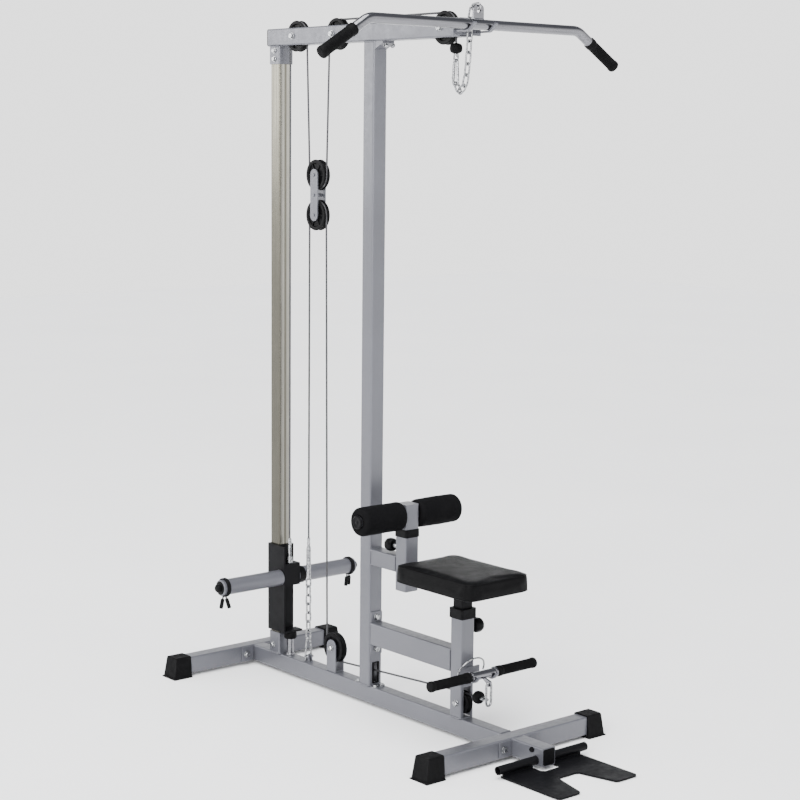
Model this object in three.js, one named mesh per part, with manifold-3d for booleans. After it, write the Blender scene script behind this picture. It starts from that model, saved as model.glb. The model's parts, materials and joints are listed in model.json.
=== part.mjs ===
import * as THREE from 'three';
import { mergeVertices } from 'three/addons/utils/BufferGeometryUtils.js';
import Module from 'manifold-3d';

const wasm = await Module();
wasm.setup();

// Driving dimensions, in millimetres. +Z is up, -Y is the seat end and +Y is the weight end.
const CLEARANCE = 0.3;
const WALL = 3;

const BASE = { width: 46, height: 54, top: 65 };
const FOOT = { width: 50, height: 55, top: 65 };
const FRONT_FOOT = { y: -640, length: 704 };
const REAR_FOOT = { y: 613, length: 690 };
const FOOT_CAP = {
  length: 70,
  depth: 50,
  top: 69,
  halfTop: 28.5,
  halfFloor: 37,
  lip: 5,
  slope: 14,
  gap: 0.25,
};
const STUB = { front: -791, width: 50, plug: 6 };

const UPRIGHT = { width: 51, slotWidth: 24, slotBottom: 72, slotTop: 140 };
const BOOM = { width: 52, bottom: 2027, top: 2080, rear: 505, front: -398 };
const GUSSET = { width: 44, reach: 36, drop: 24 };
const GUIDE = { y: 467, width: 46.5, wall: 2 };
const SOCKET = { width: 54, topHeight: 56, bottomHeight: 71 };

const CABLE = { diameter: 6, rim: 0.8 };
const WHEEL = { radius: 47.5, pitch: 42.5, width: 22, axle: 5 };
const SMALL_WHEEL = { radius: 35, pitch: 30.5, width: 22, axle: 5 };
const TOP_WHEEL_Z = 2055;
const TOP_WHEEL_Y = { rear: 376, middle: 177, front: -316 };
const FLOAT = { y: 274.5, upper: 1630, lower: 1506, plateWidth: 36, plateGap: 26, plate: 4 };
const LOW_REAR = { y: 176, z: 142, plateWidth: 46 };
const LOW_FRONT = { y: -428, z: 109 };

const CARRIAGE = { width: 64, bottom: 143, top: 430, front: 405, bore: 49, cheek: 5 };
const HORN_BLOCK = { bottom: 300, top: 372 };
const HORN = { y: 428, z: 326, radius: 25.5, wall: 3, start: 32, shoulder: 268, end: 283 };
const CLIP = { inner: 26.1, outer: 31, width: 14, x: 247, handle: 44 };
const CLEVIS = { bottom: 372.3, shoulder: 386, top: 454, radius: 6, foot: 11 };
const BUMPER = { y: 414, radius: 25, bottom: 121, stem: 11 };

const LINK = { width: 23, wire: 6 };
const ANCHOR = { y: 317, sleeveBottom: 338, sleeveTop: 473, sleeveRadius: 8 };

const SEAT_BEAM = { width: 50, bottom: 198, top: 268 };
const SEAT_POST = { y: -424, width: 50, top: 372, slotWidth: 28, slotBottom: 68, slotTop: 160 };
const SEAT_STEM = { width: 42, wall: 2.5, bottom: 218, top: 449 };
const SEAT_PAD = { y: -417, width: 246, depth: 340, height: 57, corner: 26, edge: 9 };
const SEAT_PIN = { z: 332, neck: 15, length: 32, radius: 22 };

const THIGH = { y: -170, width: 50, bottom: 396, top: 570.5, armBottom: 450, armTop: 500 };
const THIGH_STEM = { width: 42, wall: 2.5, bottom: 422, headBottom: 587, headTop: 663 };
const ROLLER = { z: 628, axle: 12.5, bore: 13, radius: 43, start: 29, length: 160 };
const THIGH_PIN = { z: 524, neck: 33, length: 32, radius: 20 };
const SEAT_COLLAR = { height: 30, skirt: 8, wall: 4.5 };
const THIGH_COLLAR = { height: 24, skirt: 8, wall: 2.6 };

const LAT_BAR = {
  y: -448, z: 2059, radius: 14.5, wall: 2.5, halfStraight: 375, bend: 60, drop: 32, tail: 165,
};
const LAT_GRIP = { length: 132, radius: 17.5, cap: 5 };
const LAT_TAB = { width: 38, thickness: 6, top: 2113, hole: 8, holeZ: 2098 };
const HOOK = { x: 40, width: 12, thickness: 5, rise: 40, tip: 28, plateWidth: 104 };
const ROW_BAR = { y: -515, z: 212, radius: 12.5, halfLength: 203, gripStart: 53 };
const ROW_GRIP = { radius: 16, cap: 4 };
const ROW_HOOK = { x: 36, width: 10, thickness: 5, rise: 48, tip: 18, plateWidth: 84 };
const STOP = { radius: 19, length: 30 };
const HIGH_STOP = { bottom: 1982 };
const LOW_STOP = { back: -483 };
const CARABINER = { top: 1968.6, height: 78, width: 28, wire: 8 };
const ROW_LINK = { y: -536, bottom: 136, height: 60, width: 26, wire: 7 };

const FOOT_PLATE = { y: -765, z: 27, tube: 25, width: 309, thickness: 5, bottom: 2, front: -988 };
const FOOT_NOTCH = { halfFront: 69, halfRoot: 37, root: -867, halfRear: 36, rear: -806 };

const paint = (color) => new THREE.MeshStandardMaterial({ color, roughness: 0.42, metalness: 0.35 });
const MATERIAL = {
  frame: () => paint(0x9d9ca6),
  black: () => new THREE.MeshStandardMaterial({ color: 0x16161a, roughness: 0.38, metalness: 0.3 }),
  chrome: () => new THREE.MeshStandardMaterial({ color: 0xd6d2c6, roughness: 0.12, metalness: 1 }),
  zinc: () => new THREE.MeshStandardMaterial({ color: 0xb9bbbd, roughness: 0.3, metalness: 0.95 }),
  rubber: () => new THREE.MeshStandardMaterial({ color: 0x141415, roughness: 0.8, metalness: 0 }),
  nylon: () => new THREE.MeshStandardMaterial({ color: 0x101013, roughness: 0.45, metalness: 0 }),
  foam: () => new THREE.MeshStandardMaterial({ color: 0x18181a, roughness: 0.95, metalness: 0 }),
  vinyl: () => new THREE.MeshStandardMaterial({ color: 0x121214, roughness: 0.5, metalness: 0 }),
  cable: () => new THREE.MeshStandardMaterial({ color: 0x3a3a3c, roughness: 0.4, metalness: 0.2 }),
};

const machine = new THREE.Group();
machine.name = 'multi_station_home_gym';

function add(name, geometry, material, x = 0, y = 0, z = 0) {
  const mesh = new THREE.Mesh(geometry, material());
  mesh.name = name;
  mesh.position.set(x, y, z);
  machine.add(mesh);
  return mesh;
}

// Solids, joined and cut.
function solid(geometry) {
  const plain = geometry.clone();
  plain.deleteAttribute('normal');
  plain.deleteAttribute('uv');
  const merged = mergeVertices(plain, 1e-4);
  return new wasm.Manifold(new wasm.Mesh({
    numProp: 3,
    vertProperties: new Float32Array(merged.attributes.position.array),
    triVerts: new Uint32Array(merged.index.array),
  }));
}

function geometryOf(manifold) {
  const mesh = manifold.getMesh();
  const geometry = new THREE.BufferGeometry();
  geometry.setAttribute('position', new THREE.BufferAttribute(mesh.vertProperties, 3));
  geometry.setIndex(new THREE.BufferAttribute(mesh.triVerts, 1));
  return geometry;
}

function fuse(...geometries) {
  return geometryOf(geometries.map(solid).reduce((whole, piece) => whole.add(piece)));
}

function cut(body, ...tools) {
  return geometryOf(tools.map(solid).reduce((whole, tool) => whole.subtract(tool), solid(body)));
}

// Basic shapes, each centred on the origin until it is moved.
const X = new THREE.Vector3(1, 0, 0);
const Y = new THREE.Vector3(0, 1, 0);
const Z = new THREE.Vector3(0, 0, 1);
const AXES = {
  x: new THREE.Matrix4().makeBasis(Y, Z, X),
  y: new THREE.Matrix4().makeBasis(X, Z, Y.clone().negate()),
  z: new THREE.Matrix4(),
};

function roundedRect(width, height, radius) {
  const shape = new THREE.Shape();
  const w = width / 2 - radius;
  const h = height / 2 - radius;
  shape.moveTo(-w, -height / 2);
  shape.absarc(w, -h, radius, -Math.PI / 2, 0, false);
  shape.absarc(w, h, radius, 0, Math.PI / 2, false);
  shape.absarc(-w, h, radius, Math.PI / 2, Math.PI, false);
  shape.absarc(-w, -h, radius, Math.PI, 1.5 * Math.PI, false);
  return shape;
}

function extrude(shape, length, axis = 'z', curveSegments = 2) {
  const geometry = new THREE.ExtrudeGeometry(shape, { depth: length, bevelEnabled: false, curveSegments });
  geometry.translate(0, 0, -length / 2);
  return geometry.applyMatrix4(AXES[axis]);
}

function tube(width, height, wall, length, axis, radius = 5) {
  const shape = roundedRect(width, height, radius);
  shape.holes.push(roundedRect(width - 2 * wall, height - 2 * wall, Math.max(radius - wall, 1.2)));
  return extrude(shape, length, axis);
}

function block(width, depth, height, x = 0, y = 0, z = 0) {
  return new THREE.BoxGeometry(width, depth, height).translate(x, y, z);
}

function rod(radius, length, axis, sides = 16) {
  const geometry = new THREE.CylinderGeometry(radius, radius, length, sides);
  if (axis === 'z') return geometry.rotateX(Math.PI / 2);
  if (axis === 'x') return geometry.rotateZ(Math.PI / 2);
  return geometry;
}

// A profile of [radius, height] points turned about an axis. The points may run either way round.
function turned(points, axis, sides = 20) {
  const area = points.reduce((sum, [r, h], i) => {
    const [nextR, nextH] = points[(i + 1) % points.length];
    return sum + r * nextH - nextR * h;
  }, 0);
  const ordered = area > 0 ? points : [...points].reverse();
  const geometry = new THREE.LatheGeometry(ordered.map(([r, h]) => new THREE.Vector2(r, h)), sides);
  if (axis === 'z') return geometry.rotateX(Math.PI / 2);
  if (axis === 'x') return geometry.rotateZ(-Math.PI / 2);
  return geometry;
}

// A route given by its stations, each with the direction that the route has there.
class Route extends THREE.Curve {
  constructor(stations) {
    super();
    this.stations = stations;
  }

  at(t) {
    return this.stations[Math.round(t * (this.stations.length - 1))];
  }

  getPoint(t) {
    return this.at(t).point.clone();
  }

  getTangent(t) {
    return this.at(t).direction.clone();
  }

  getUtoTmapping(u) {
    return u;
  }
}

function circle(radius, sides) {
  const corner = (i) => (i * 2 * Math.PI) / sides;
  return Array.from({ length: sides }, (_, i) => (
    new THREE.Vector2(radius * Math.cos(corner(i)), radius * Math.sin(corner(i)))));
}

function sweep(stations, radius, sides = 8, bore = 0) {
  const section = new THREE.Shape(circle(radius, sides));
  if (bore > 0) section.holes.push(new THREE.Path(circle(bore, sides)));
  const steps = stations.length - 1;
  return new THREE.ExtrudeGeometry(section, { steps, extrudePath: new Route(stations) });
}

// Cable routes lie in the plane x = 0. Angles are measured from +Y towards +Z.
function station(y, z, dy, dz) {
  return { point: new THREE.Vector3(0, y, z), direction: new THREE.Vector3(0, dy, dz).normalize() };
}

// An arc around a wheel; turn is 1 from +Y towards +Z and -1 the other way.
function wrap(wheel, from, to, turn) {
  const full = 2 * Math.PI;
  const sweepAngle = (((to - from) * turn) % full + full) % full;
  const steps = Math.max(1, Math.ceil(sweepAngle / (Math.PI / 12)));
  return Array.from({ length: steps + 1 }, (_, i) => {
    const angle = from + (turn * sweepAngle * i) / steps;
    const c = Math.cos(angle);
    const s = Math.sin(angle);
    return station(wheel.y + wheel.pitch * c, wheel.z + wheel.pitch * s, -turn * s, turn * c);
  });
}

// The angles on wheels a and b where a cable leaves a and meets b.
function tangent(a, turnA, b, turnB) {
  const dy = b.y - a.y;
  const dz = b.z - a.z;
  const same = turnA * turnB;
  const leave = Math.atan2(dz, dy) - turnA * Math.acos((a.pitch - same * b.pitch) / Math.hypot(dy, dz));
  return [leave, same > 0 ? leave : leave + Math.PI];
}

const wheels = {
  topRear: { y: TOP_WHEEL_Y.rear, z: TOP_WHEEL_Z, pitch: WHEEL.pitch },
  topMiddle: { y: TOP_WHEEL_Y.middle, z: TOP_WHEEL_Z, pitch: WHEEL.pitch },
  topFront: { y: TOP_WHEEL_Y.front, z: TOP_WHEEL_Z, pitch: WHEEL.pitch },
  floatUpper: { y: FLOAT.y, z: FLOAT.upper, pitch: WHEEL.pitch },
  floatLower: { y: FLOAT.y, z: FLOAT.lower, pitch: WHEEL.pitch },
  lowRear: { y: LOW_REAR.y, z: LOW_REAR.z, pitch: WHEEL.pitch },
  lowFront: { y: LOW_FRONT.y, z: LOW_FRONT.z, pitch: SMALL_WHEEL.pitch },
};

// Base, feet and the short stub that carries the foot plate.
function footCapSide() {
  const shape = new THREE.Shape();
  const { halfFloor, halfTop, top, lip } = FOOT_CAP;
  const corner = 6;
  shape.moveTo(-halfFloor, 0);
  shape.lineTo(halfFloor, 0);
  shape.lineTo(halfFloor, lip - 2);
  shape.lineTo(halfFloor - 4, lip);
  shape.absarc(halfTop - corner, top - corner, corner, 0, Math.PI / 2, false);
  shape.absarc(-halfTop + corner, top - corner, corner, Math.PI / 2, Math.PI, false);
  shape.lineTo(-halfFloor + 4, lip);
  shape.lineTo(-halfFloor, lip - 2);
  shape.lineTo(-halfFloor, 0);
  return shape;
}

// What is cut away from a cap's outer end, so that it leans in above its lip.
function footCapWedge(side) {
  const { length, top, lip, slope } = FOOT_CAP;
  const end = (side * length) / 2;
  const wedge = new THREE.Shape();
  wedge.moveTo(end - side * 4, lip);
  wedge.lineTo(end - side * slope, top + 1);
  wedge.lineTo(end + side * 5, top + 1);
  wedge.lineTo(end + side * 5, lip - 2);
  wedge.lineTo(end, lip - 2);
  return extrude(wedge, 100, 'y');
}

function addFoot(name, foot) {
  const middle = FOOT.top - FOOT.height / 2;
  const inset = FOOT_CAP.length - FOOT_CAP.depth;
  const length = foot.length - 2 * inset;
  add(name, tube(FOOT.width, FOOT.height, WALL, length, 'x'), MATERIAL.frame, 0, foot.y, middle);
  const mouth = roundedRect(FOOT.width + 2 * FOOT_CAP.gap, FOOT.height + 2 * FOOT_CAP.gap, 5);
  const pocket = extrude(mouth, 2 * FOOT_CAP.depth + CLEARANCE, 'x');
  [-1, 1].forEach((side) => {
    const shell = extrude(footCapSide(), FOOT_CAP.length, 'x', 3);
    const hole = pocket.clone().translate((-side * FOOT_CAP.length) / 2, 0, middle);
    const x = side * (foot.length / 2 - FOOT_CAP.length / 2);
    const cap = cut(shell, hole, footCapWedge(side));
    add(`${name}_cap_${side < 0 ? 'left' : 'right'}`, cap, MATERIAL.rubber, x, foot.y, 0);
  });
}

function addBase() {
  addFoot('front_foot', FRONT_FOOT);
  addFoot('rear_foot', REAR_FOOT);
  const front = FRONT_FOOT.y + FOOT.width / 2;
  const rear = REAR_FOOT.y - FOOT.width / 2;
  const middle = BASE.top - BASE.height / 2;
  const beam = tube(BASE.width, BASE.height, WALL, rear - front, 'y');
  add('base_beam', beam, MATERIAL.frame, 0, (front + rear) / 2, middle);
}

function addStub() {
  const back = FRONT_FOOT.y - FOOT.width / 2;
  const length = back - STUB.front;
  const middle = (back + STUB.front) / 2;
  const z = BASE.top - BASE.height / 2;
  const shell = tube(STUB.width, BASE.height, WALL, length, 'y').translate(0, middle, z);
  const plug = extrude(roundedRect(STUB.width, BASE.height, 5), STUB.plug, 'y');
  plug.translate(0, STUB.front + STUB.plug / 2, z);
  const hinge = rod(FOOT_PLATE.tube / 2 + 0.5, STUB.width + 10, 'x').translate(0, FOOT_PLATE.y, FOOT_PLATE.z);
  add('base_stub', cut(fuse(shell, plug), hinge), MATERIAL.frame);
}

// Column, boom and the hooks that hold the lat bar.
function addUpright() {
  const height = BOOM.bottom - BASE.top;
  const middle = BASE.top + height / 2;
  const post = tube(UPRIGHT.width, UPRIGHT.width, WALL, height, 'z', 6).translate(0, 0, middle);
  const slotHeight = UPRIGHT.slotTop - UPRIGHT.slotBottom;
  const slot = block(UPRIGHT.slotWidth, 80, slotHeight, 0, 0, UPRIGHT.slotBottom + slotHeight / 2);
  const side = new THREE.Shape();
  const face = -UPRIGHT.width / 2 + 1;
  side.moveTo(face, BOOM.bottom);
  side.lineTo(face - GUSSET.reach, BOOM.bottom);
  side.lineTo(face - GUSSET.reach, BOOM.bottom - 6);
  side.lineTo(face, BOOM.bottom - GUSSET.drop);
  const gusset = extrude(side, GUSSET.width, 'x');
  add('upright', fuse(cut(post, slot), gusset), MATERIAL.frame);
}

function addBoom() {
  const length = BOOM.rear - BOOM.front;
  const height = BOOM.top - BOOM.bottom;
  const middle = (BOOM.rear + BOOM.front) / 2;
  const shell = tube(BOOM.width, height, WALL, length, 'y').translate(0, middle, BOOM.bottom + height / 2);
  const places = Object.values(TOP_WHEEL_Y);
  const slots = places.map((y) => block(28, 2 * WHEEL.radius + 7, height + 20, 0, y, TOP_WHEEL_Z));
  const axles = places.map((y) => rod(WHEEL.axle, BOOM.width, 'x', 10).translate(0, y, TOP_WHEEL_Z));
  add('boom', fuse(cut(shell, ...slots), ...axles), MATERIAL.frame);
}

// The side of a J-shaped hook: a level arm, a round seat under the bar and a rising tip.
function hookSide(hook, bar, root) {
  const inner = bar.radius + 1;
  const outer = inner + hook.thickness;
  const tilt = THREE.MathUtils.degToRad(hook.rise);
  const end = 1.5 * Math.PI - tilt;
  const run = { y: -Math.cos(tilt) * hook.tip, z: Math.sin(tilt) * hook.tip };
  const at = (radius) => ({ y: bar.y + radius * Math.cos(end), z: bar.z + radius * Math.sin(end) });
  const shape = new THREE.Shape();
  shape.moveTo(root, bar.z - inner);
  shape.lineTo(root, bar.z - outer);
  shape.absarc(bar.y, bar.z, outer, 1.5 * Math.PI, end, true);
  shape.lineTo(at(outer).y + run.y, at(outer).z + run.z);
  shape.lineTo(at(inner).y + run.y, at(inner).z + run.z);
  shape.absarc(bar.y, bar.z, inner, end, 1.5 * Math.PI, false);
  return shape;
}

function hooks(hook, bar, face, plateBottom, plateTop) {
  const height = plateTop - plateBottom;
  const plate = block(hook.plateWidth, 6, height, 0, face - 3, plateBottom + height / 2);
  const arms = [-1, 1].map((side) => (
    extrude(hookSide(hook, bar, face - 1), hook.width, 'x', 5).translate(side * hook.x, 0, 0)));
  return fuse(plate, ...arms);
}

// Guide post, its sockets and the weight carriage.
function addGuide() {
  const height = BOOM.bottom - BASE.top;
  const middle = BASE.top + height / 2;
  const { width, wall, y } = GUIDE;
  add('guide_post', tube(width, width, wall, height, 'z', 4), MATERIAL.chrome, 0, y, middle);
  const socketWall = (SOCKET.width - width) / 2 - CLEARANCE;
  const socket = (tall) => tube(SOCKET.width, SOCKET.width, socketWall, tall, 'z');
  const topMiddle = BOOM.bottom - SOCKET.topHeight / 2;
  const bottomMiddle = BASE.top + SOCKET.bottomHeight / 2;
  add('guide_top_socket', socket(SOCKET.topHeight), MATERIAL.frame, 0, y, topMiddle);
  add('guide_bottom_socket', socket(SOCKET.bottomHeight), MATERIAL.frame, 0, y, bottomMiddle);
  addBumper();
}

function addBumper() {
  const { y, radius, stem, bottom } = BUMPER;
  const root = 2;
  const stemHeight = bottom - BASE.top + root;
  const padHeight = CARRIAGE.bottom - bottom;
  const shaft = rod(stem, stemHeight, 'z').translate(0, y, BASE.top + stemHeight / 2);
  const pad = rod(radius, padHeight, 'z').translate(0, y, bottom + padHeight / 2);
  add('weight_bumper', fuse(shaft, pad), MATERIAL.rubber);
}

function addCarriage() {
  const { width, bottom, top, front, bore, cheek: wall } = CARRIAGE;
  const height = top - bottom;
  const middle = bottom + height / 2;
  const back = GUIDE.y - width / 2;
  const sleeve = tube(width, width, (width - bore) / 2, height, 'z', 8).translate(0, GUIDE.y, middle);
  const cheekDepth = back - front + 12;
  const cheek = block(wall, cheekDepth, height, (wall - width) / 2, front + cheekDepth / 2, middle);
  const depth = back - front + 2;
  const blockHeight = HORN_BLOCK.top - HORN_BLOCK.bottom;
  const blockMiddle = HORN_BLOCK.bottom + blockHeight / 2;
  const hornBlock = block(width, depth, blockHeight, 0, front + depth / 2, blockMiddle);
  const foot = block(width + 6, depth + 6, 6, 3, front + depth / 2 - 3, bottom + 3);
  add('weight_carriage', fuse(sleeve, cheek, hornBlock, foot), MATERIAL.black);
}

function addHorns() {
  const inner = HORN.radius - HORN.wall;
  const profile = [
    [0, HORN.end], [12, HORN.end], [13, HORN.end - 1], [13, HORN.shoulder],
    [HORN.radius - 2, HORN.shoulder], [HORN.radius, HORN.shoulder - 2], [HORN.radius, HORN.start],
    [inner, HORN.start], [inner, HORN.shoulder - 5], [0, HORN.shoulder - 5],
  ];
  [-1, 1].forEach((side) => {
    const label = side < 0 ? 'left' : 'right';
    const horn = add(`weight_horn_${label}`, turned(profile, 'x'), MATERIAL.frame, 0, HORN.y, HORN.z);
    if (side < 0) horn.rotation.z = Math.PI;
    const clip = add(`spring_clip_${label}`, clipRing(), MATERIAL.black, side * CLIP.x, HORN.y, HORN.z);
    if (side < 0) clip.rotation.z = Math.PI;
  });
}

function clipRing() {
  const { inner, outer, width } = CLIP;
  const half = width / 2;
  const section = [[inner, -half], [outer, -half], [outer, half], [inner, half], [inner, -half]];
  const ring = turned(section, 'x');
  const legs = [-1, 1].map((side) => {
    const leg = rod(4, CLIP.handle, 'z', 10).translate(0, 0, -CLIP.handle / 2);
    leg.rotateY(THREE.MathUtils.degToRad(side < 0 ? 4 : -16));
    return leg.translate(side * 3.5, 0, 3 - outer);
  });
  return fuse(ring, ...legs);
}

function addClevis() {
  const y = TOP_WHEEL_Y.rear + WHEEL.pitch;
  const { bottom, shoulder, top, radius, foot } = CLEVIS;
  const profile = [
    [0, top], [radius - 2, top], [radius, top - 3], [radius, shoulder],
    [foot, shoulder - 2], [foot, bottom], [0, bottom],
  ];
  add('weight_cable_end', turned(profile, 'z', 16), MATERIAL.zinc, 0, y, 0);
}

// Pulley wheels, their brackets and the cables.
function wheelSection(wheel) {
  const half = wheel.width / 2;
  const groove = wheel.pitch - CABLE.diameter / 2 - CABLE.rim;
  const bore = wheel.axle + CLEARANCE;
  return [
    [bore, -half], [wheel.radius - 1, -half], [wheel.radius, -half + 2],
    [groove, -3.6], [groove, 3.6],
    [wheel.radius, half - 2], [wheel.radius - 1, half], [bore, half], [bore, -half],
  ];
}

function addWheels() {
  const names = {
    topRear: 'top_rear_pulley', topMiddle: 'top_middle_pulley', topFront: 'top_front_pulley',
    floatUpper: 'floating_upper_pulley', floatLower: 'floating_lower_pulley', lowRear: 'low_rear_pulley',
  };
  Object.entries(names).forEach(([key, name]) => {
    add(name, turned(wheelSection(WHEEL), 'x'), MATERIAL.nylon, 0, wheels[key].y, wheels[key].z);
  });
  const small = turned(wheelSection(SMALL_WHEEL), 'x');
  add('low_front_pulley', small, MATERIAL.nylon, 0, LOW_FRONT.y, LOW_FRONT.z);
}

function addFloatBracket() {
  const { plateWidth, plateGap, plate, upper, lower, y } = FLOAT;
  const height = upper - lower + plateWidth;
  const middle = (upper + lower) / 2;
  const offset = (plateGap + plate) / 2;
  const side = () => extrude(roundedRect(plateWidth, height, plateWidth / 2 - 0.1), plate, 'x', 4);
  const plates = [-1, 1].map((s) => side().translate(s * offset, y, middle));
  const pinLength = plateGap + 2 * plate + 6;
  const pins = [upper, middle, lower].map((z) => rod(WHEEL.axle, pinLength, 'x', 10).translate(0, y, z));
  add('floating_pulley_bracket', fuse(...plates, ...pins), MATERIAL.frame);
}

function addLowBracket() {
  const { y, z, plateWidth } = LOW_REAR;
  const half = plateWidth / 2;
  const side = new THREE.Shape();
  side.moveTo(-half, BASE.top);
  side.lineTo(half, BASE.top);
  side.absarc(0, z + 4, half, 0, Math.PI, false);
  const plates = [-1, 1].map((s) => extrude(side, FLOAT.plate, 'x', 5).translate(s * 15, y, 0));
  const foot = block(34, plateWidth, 5, 0, y, BASE.top + 2.5);
  const pin = rod(WHEEL.axle, 40, 'x', 10).translate(0, y, z);
  add('low_pulley_bracket', fuse(...plates, foot, pin), MATERIAL.frame);
}

function addCables() {
  const { topRear, topMiddle, topFront, floatUpper, floatLower, lowRear, lowFront } = wheels;
  const draw = (name, stations) => add(name, sweep(stations, CABLE.diameter / 2), MATERIAL.cable);
  const [leaveRear, meetUpper] = tangent(topRear, 1, floatUpper, -1);
  const [leaveUpper, meetMiddle] = tangent(floatUpper, -1, topMiddle, 1);
  const [leaveMiddle, meetFront] = tangent(topMiddle, 1, topFront, 1);
  const [leaveLower, meetLow] = tangent(floatLower, 1, lowRear, -1);
  const [leaveLow, meetLast] = tangent(lowRear, -1, lowFront, 1);
  const joined = Math.PI / 360;
  draw('high_cable_weight_side', [
    station(topRear.y + topRear.pitch, CLEVIS.top + CLEARANCE, 0, 1),
    ...wrap(topRear, 0, leaveRear - joined, 1),
  ]);
  draw('high_cable_loop', [
    ...wrap(topRear, leaveRear, leaveRear, 1),
    ...wrap(floatUpper, meetUpper, leaveUpper, -1),
    ...wrap(topMiddle, meetMiddle, meetMiddle, 1),
  ]);
  draw('high_cable_front_run', [
    ...wrap(topMiddle, meetMiddle + joined, leaveMiddle, 1),
    ...wrap(topFront, meetFront, Math.PI, 1),
  ]);
  draw('low_cable_loop', [
    station(ANCHOR.y, ANCHOR.sleeveTop + CLEARANCE, 0, 1),
    ...wrap(floatLower, 0, leaveLower, 1),
    ...wrap(lowRear, meetLow, meetLow, -1),
  ]);
  draw('low_cable_floor_run', [
    ...wrap(lowRear, meetLow - joined, leaveLow, -1),
    ...wrap(lowFront, meetLast, Math.PI / 2, 1),
  ]);
}

// Chains and closed rings. A ring stands in the plane y = 0 with its length along Z.
function ring(length, width, wire, sides = 5) {
  const bend = (width - wire) / 2;
  const half = (length - width) / 2;
  const positions = [];
  const stations = [];
  for (let i = 0; i <= 4; i += 1) stations.push([(i * Math.PI) / 4, half]);
  for (let i = 0; i <= 4; i += 1) stations.push([Math.PI + (i * Math.PI) / 4, -half]);
  stations.forEach(([angle, shift]) => {
    for (let k = 0; k < sides; k += 1) {
      const around = (k * 2 * Math.PI) / sides;
      const reach = bend + (wire / 2) * Math.cos(around);
      const depth = (wire / 2) * Math.sin(around);
      positions.push(reach * Math.cos(angle), depth, shift + reach * Math.sin(angle));
    }
  });
  const index = [];
  stations.forEach((_, i) => {
    const next = (i + 1) % stations.length;
    for (let k = 0; k < sides; k += 1) {
      const a = i * sides + k;
      const b = i * sides + ((k + 1) % sides);
      const c = next * sides + ((k + 1) % sides);
      const d = next * sides + k;
      index.push(a, b, c, a, c, d);
    }
  });
  const geometry = new THREE.BufferGeometry();
  geometry.setAttribute('position', new THREE.BufferAttribute(new Float32Array(positions), 3));
  geometry.setIndex(index);
  return geometry;
}

// Links between the joints of a chain, turned a quarter from one to the next.
function chain(joints) {
  return joints.slice(1).map((end, i) => {
    const start = joints[i];
    const along = new THREE.Vector3().subVectors(end, start);
    const length = along.length() + 2 * LINK.wire - 1.6;
    const direction = along.normalize();
    const across = new THREE.Vector3().crossVectors(X, direction);
    const basis = new THREE.Matrix4().makeBasis(X, across.negate(), direction);
    const link = ring(length, LINK.width, LINK.wire).rotateZ((i % 2) * (Math.PI / 2));
    const middle = new THREE.Vector3().addVectors(start, end).multiplyScalar(0.5);
    return link.applyMatrix4(basis).translate(middle.x, middle.y, middle.z);
  });
}

function addAnchor() {
  const { y, sleeveBottom, sleeveTop, sleeveRadius } = ANCHOR;
  const joints = 9;
  const foot = BASE.top + 16;
  const rise = (sleeveBottom + 4 - foot) / joints;
  const places = Array.from({ length: joints + 1 }, (_, i) => new THREE.Vector3(0, y, foot + i * rise));
  const length = sleeveTop - sleeveBottom;
  const sleeve = turned([
    [0, length], [5, length], [5, length - 22], [sleeveRadius, length - 24], [sleeveRadius, 0], [0, 0],
  ], 'z', 14).translate(0, y, sleeveBottom);
  const lug = block(10, 30, 22, 0, y, BASE.top + 11);
  add('anchor_chain', fuse(sleeve, lug, ...chain(places)), MATERIAL.zinc);
}

function addHighEnd() {
  const y = wheels.topFront.y - wheels.topFront.pitch;
  const { radius, length } = STOP;
  const stub = rod(CABLE.diameter / 2, TOP_WHEEL_Z - HIGH_STOP.bottom - CLEARANCE - 10, 'z', 8);
  const middle = (TOP_WHEEL_Z - CLEARANCE + HIGH_STOP.bottom + 10) / 2;
  const ball = turned(stopProfile(radius, length), 'z', 16).translate(0, y, HIGH_STOP.bottom);
  const eye = ring(32, 20, 6).translate(0, y, HIGH_STOP.bottom - 9);
  const { top, height, width, wire } = CARABINER;
  const clip = ring(height, width, wire, 6).rotateZ(Math.PI / 2).translate(0, y, top - height / 2);
  add('high_cable_end', fuse(stub.translate(0, y, middle), ball, eye, clip), MATERIAL.zinc);
  const low = top - height + wire / 2 + 6;
  const route = [
    [y, low], [y - 8, low - 27], [y - 28, low - 36], [y - 46, low - 20], [y - 56, low + 30],
    [y - 58.5, low + 100], [y - 58.5, low + 170], [LAT_BAR.y + 24, LAT_TAB.top - 6],
  ];
  const hang = new THREE.CatmullRomCurve3(route.map(([py, pz]) => new THREE.Vector3(0, py, pz)));
  const joints = hang.getSpacedPoints(9);
  joints.push(new THREE.Vector3(0, LAT_BAR.y - 6, LAT_TAB.top - 3.5));
  add('lat_chain', fuse(...chain(joints)), MATERIAL.zinc);
}

function stopProfile(radius, length) {
  return [
    [0, length], [radius - 9, length], [radius - 3, length - 3], [radius, length - 9],
    [radius, 9], [radius - 3, 3], [radius - 9, 0], [0, 0],
  ];
}

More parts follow.
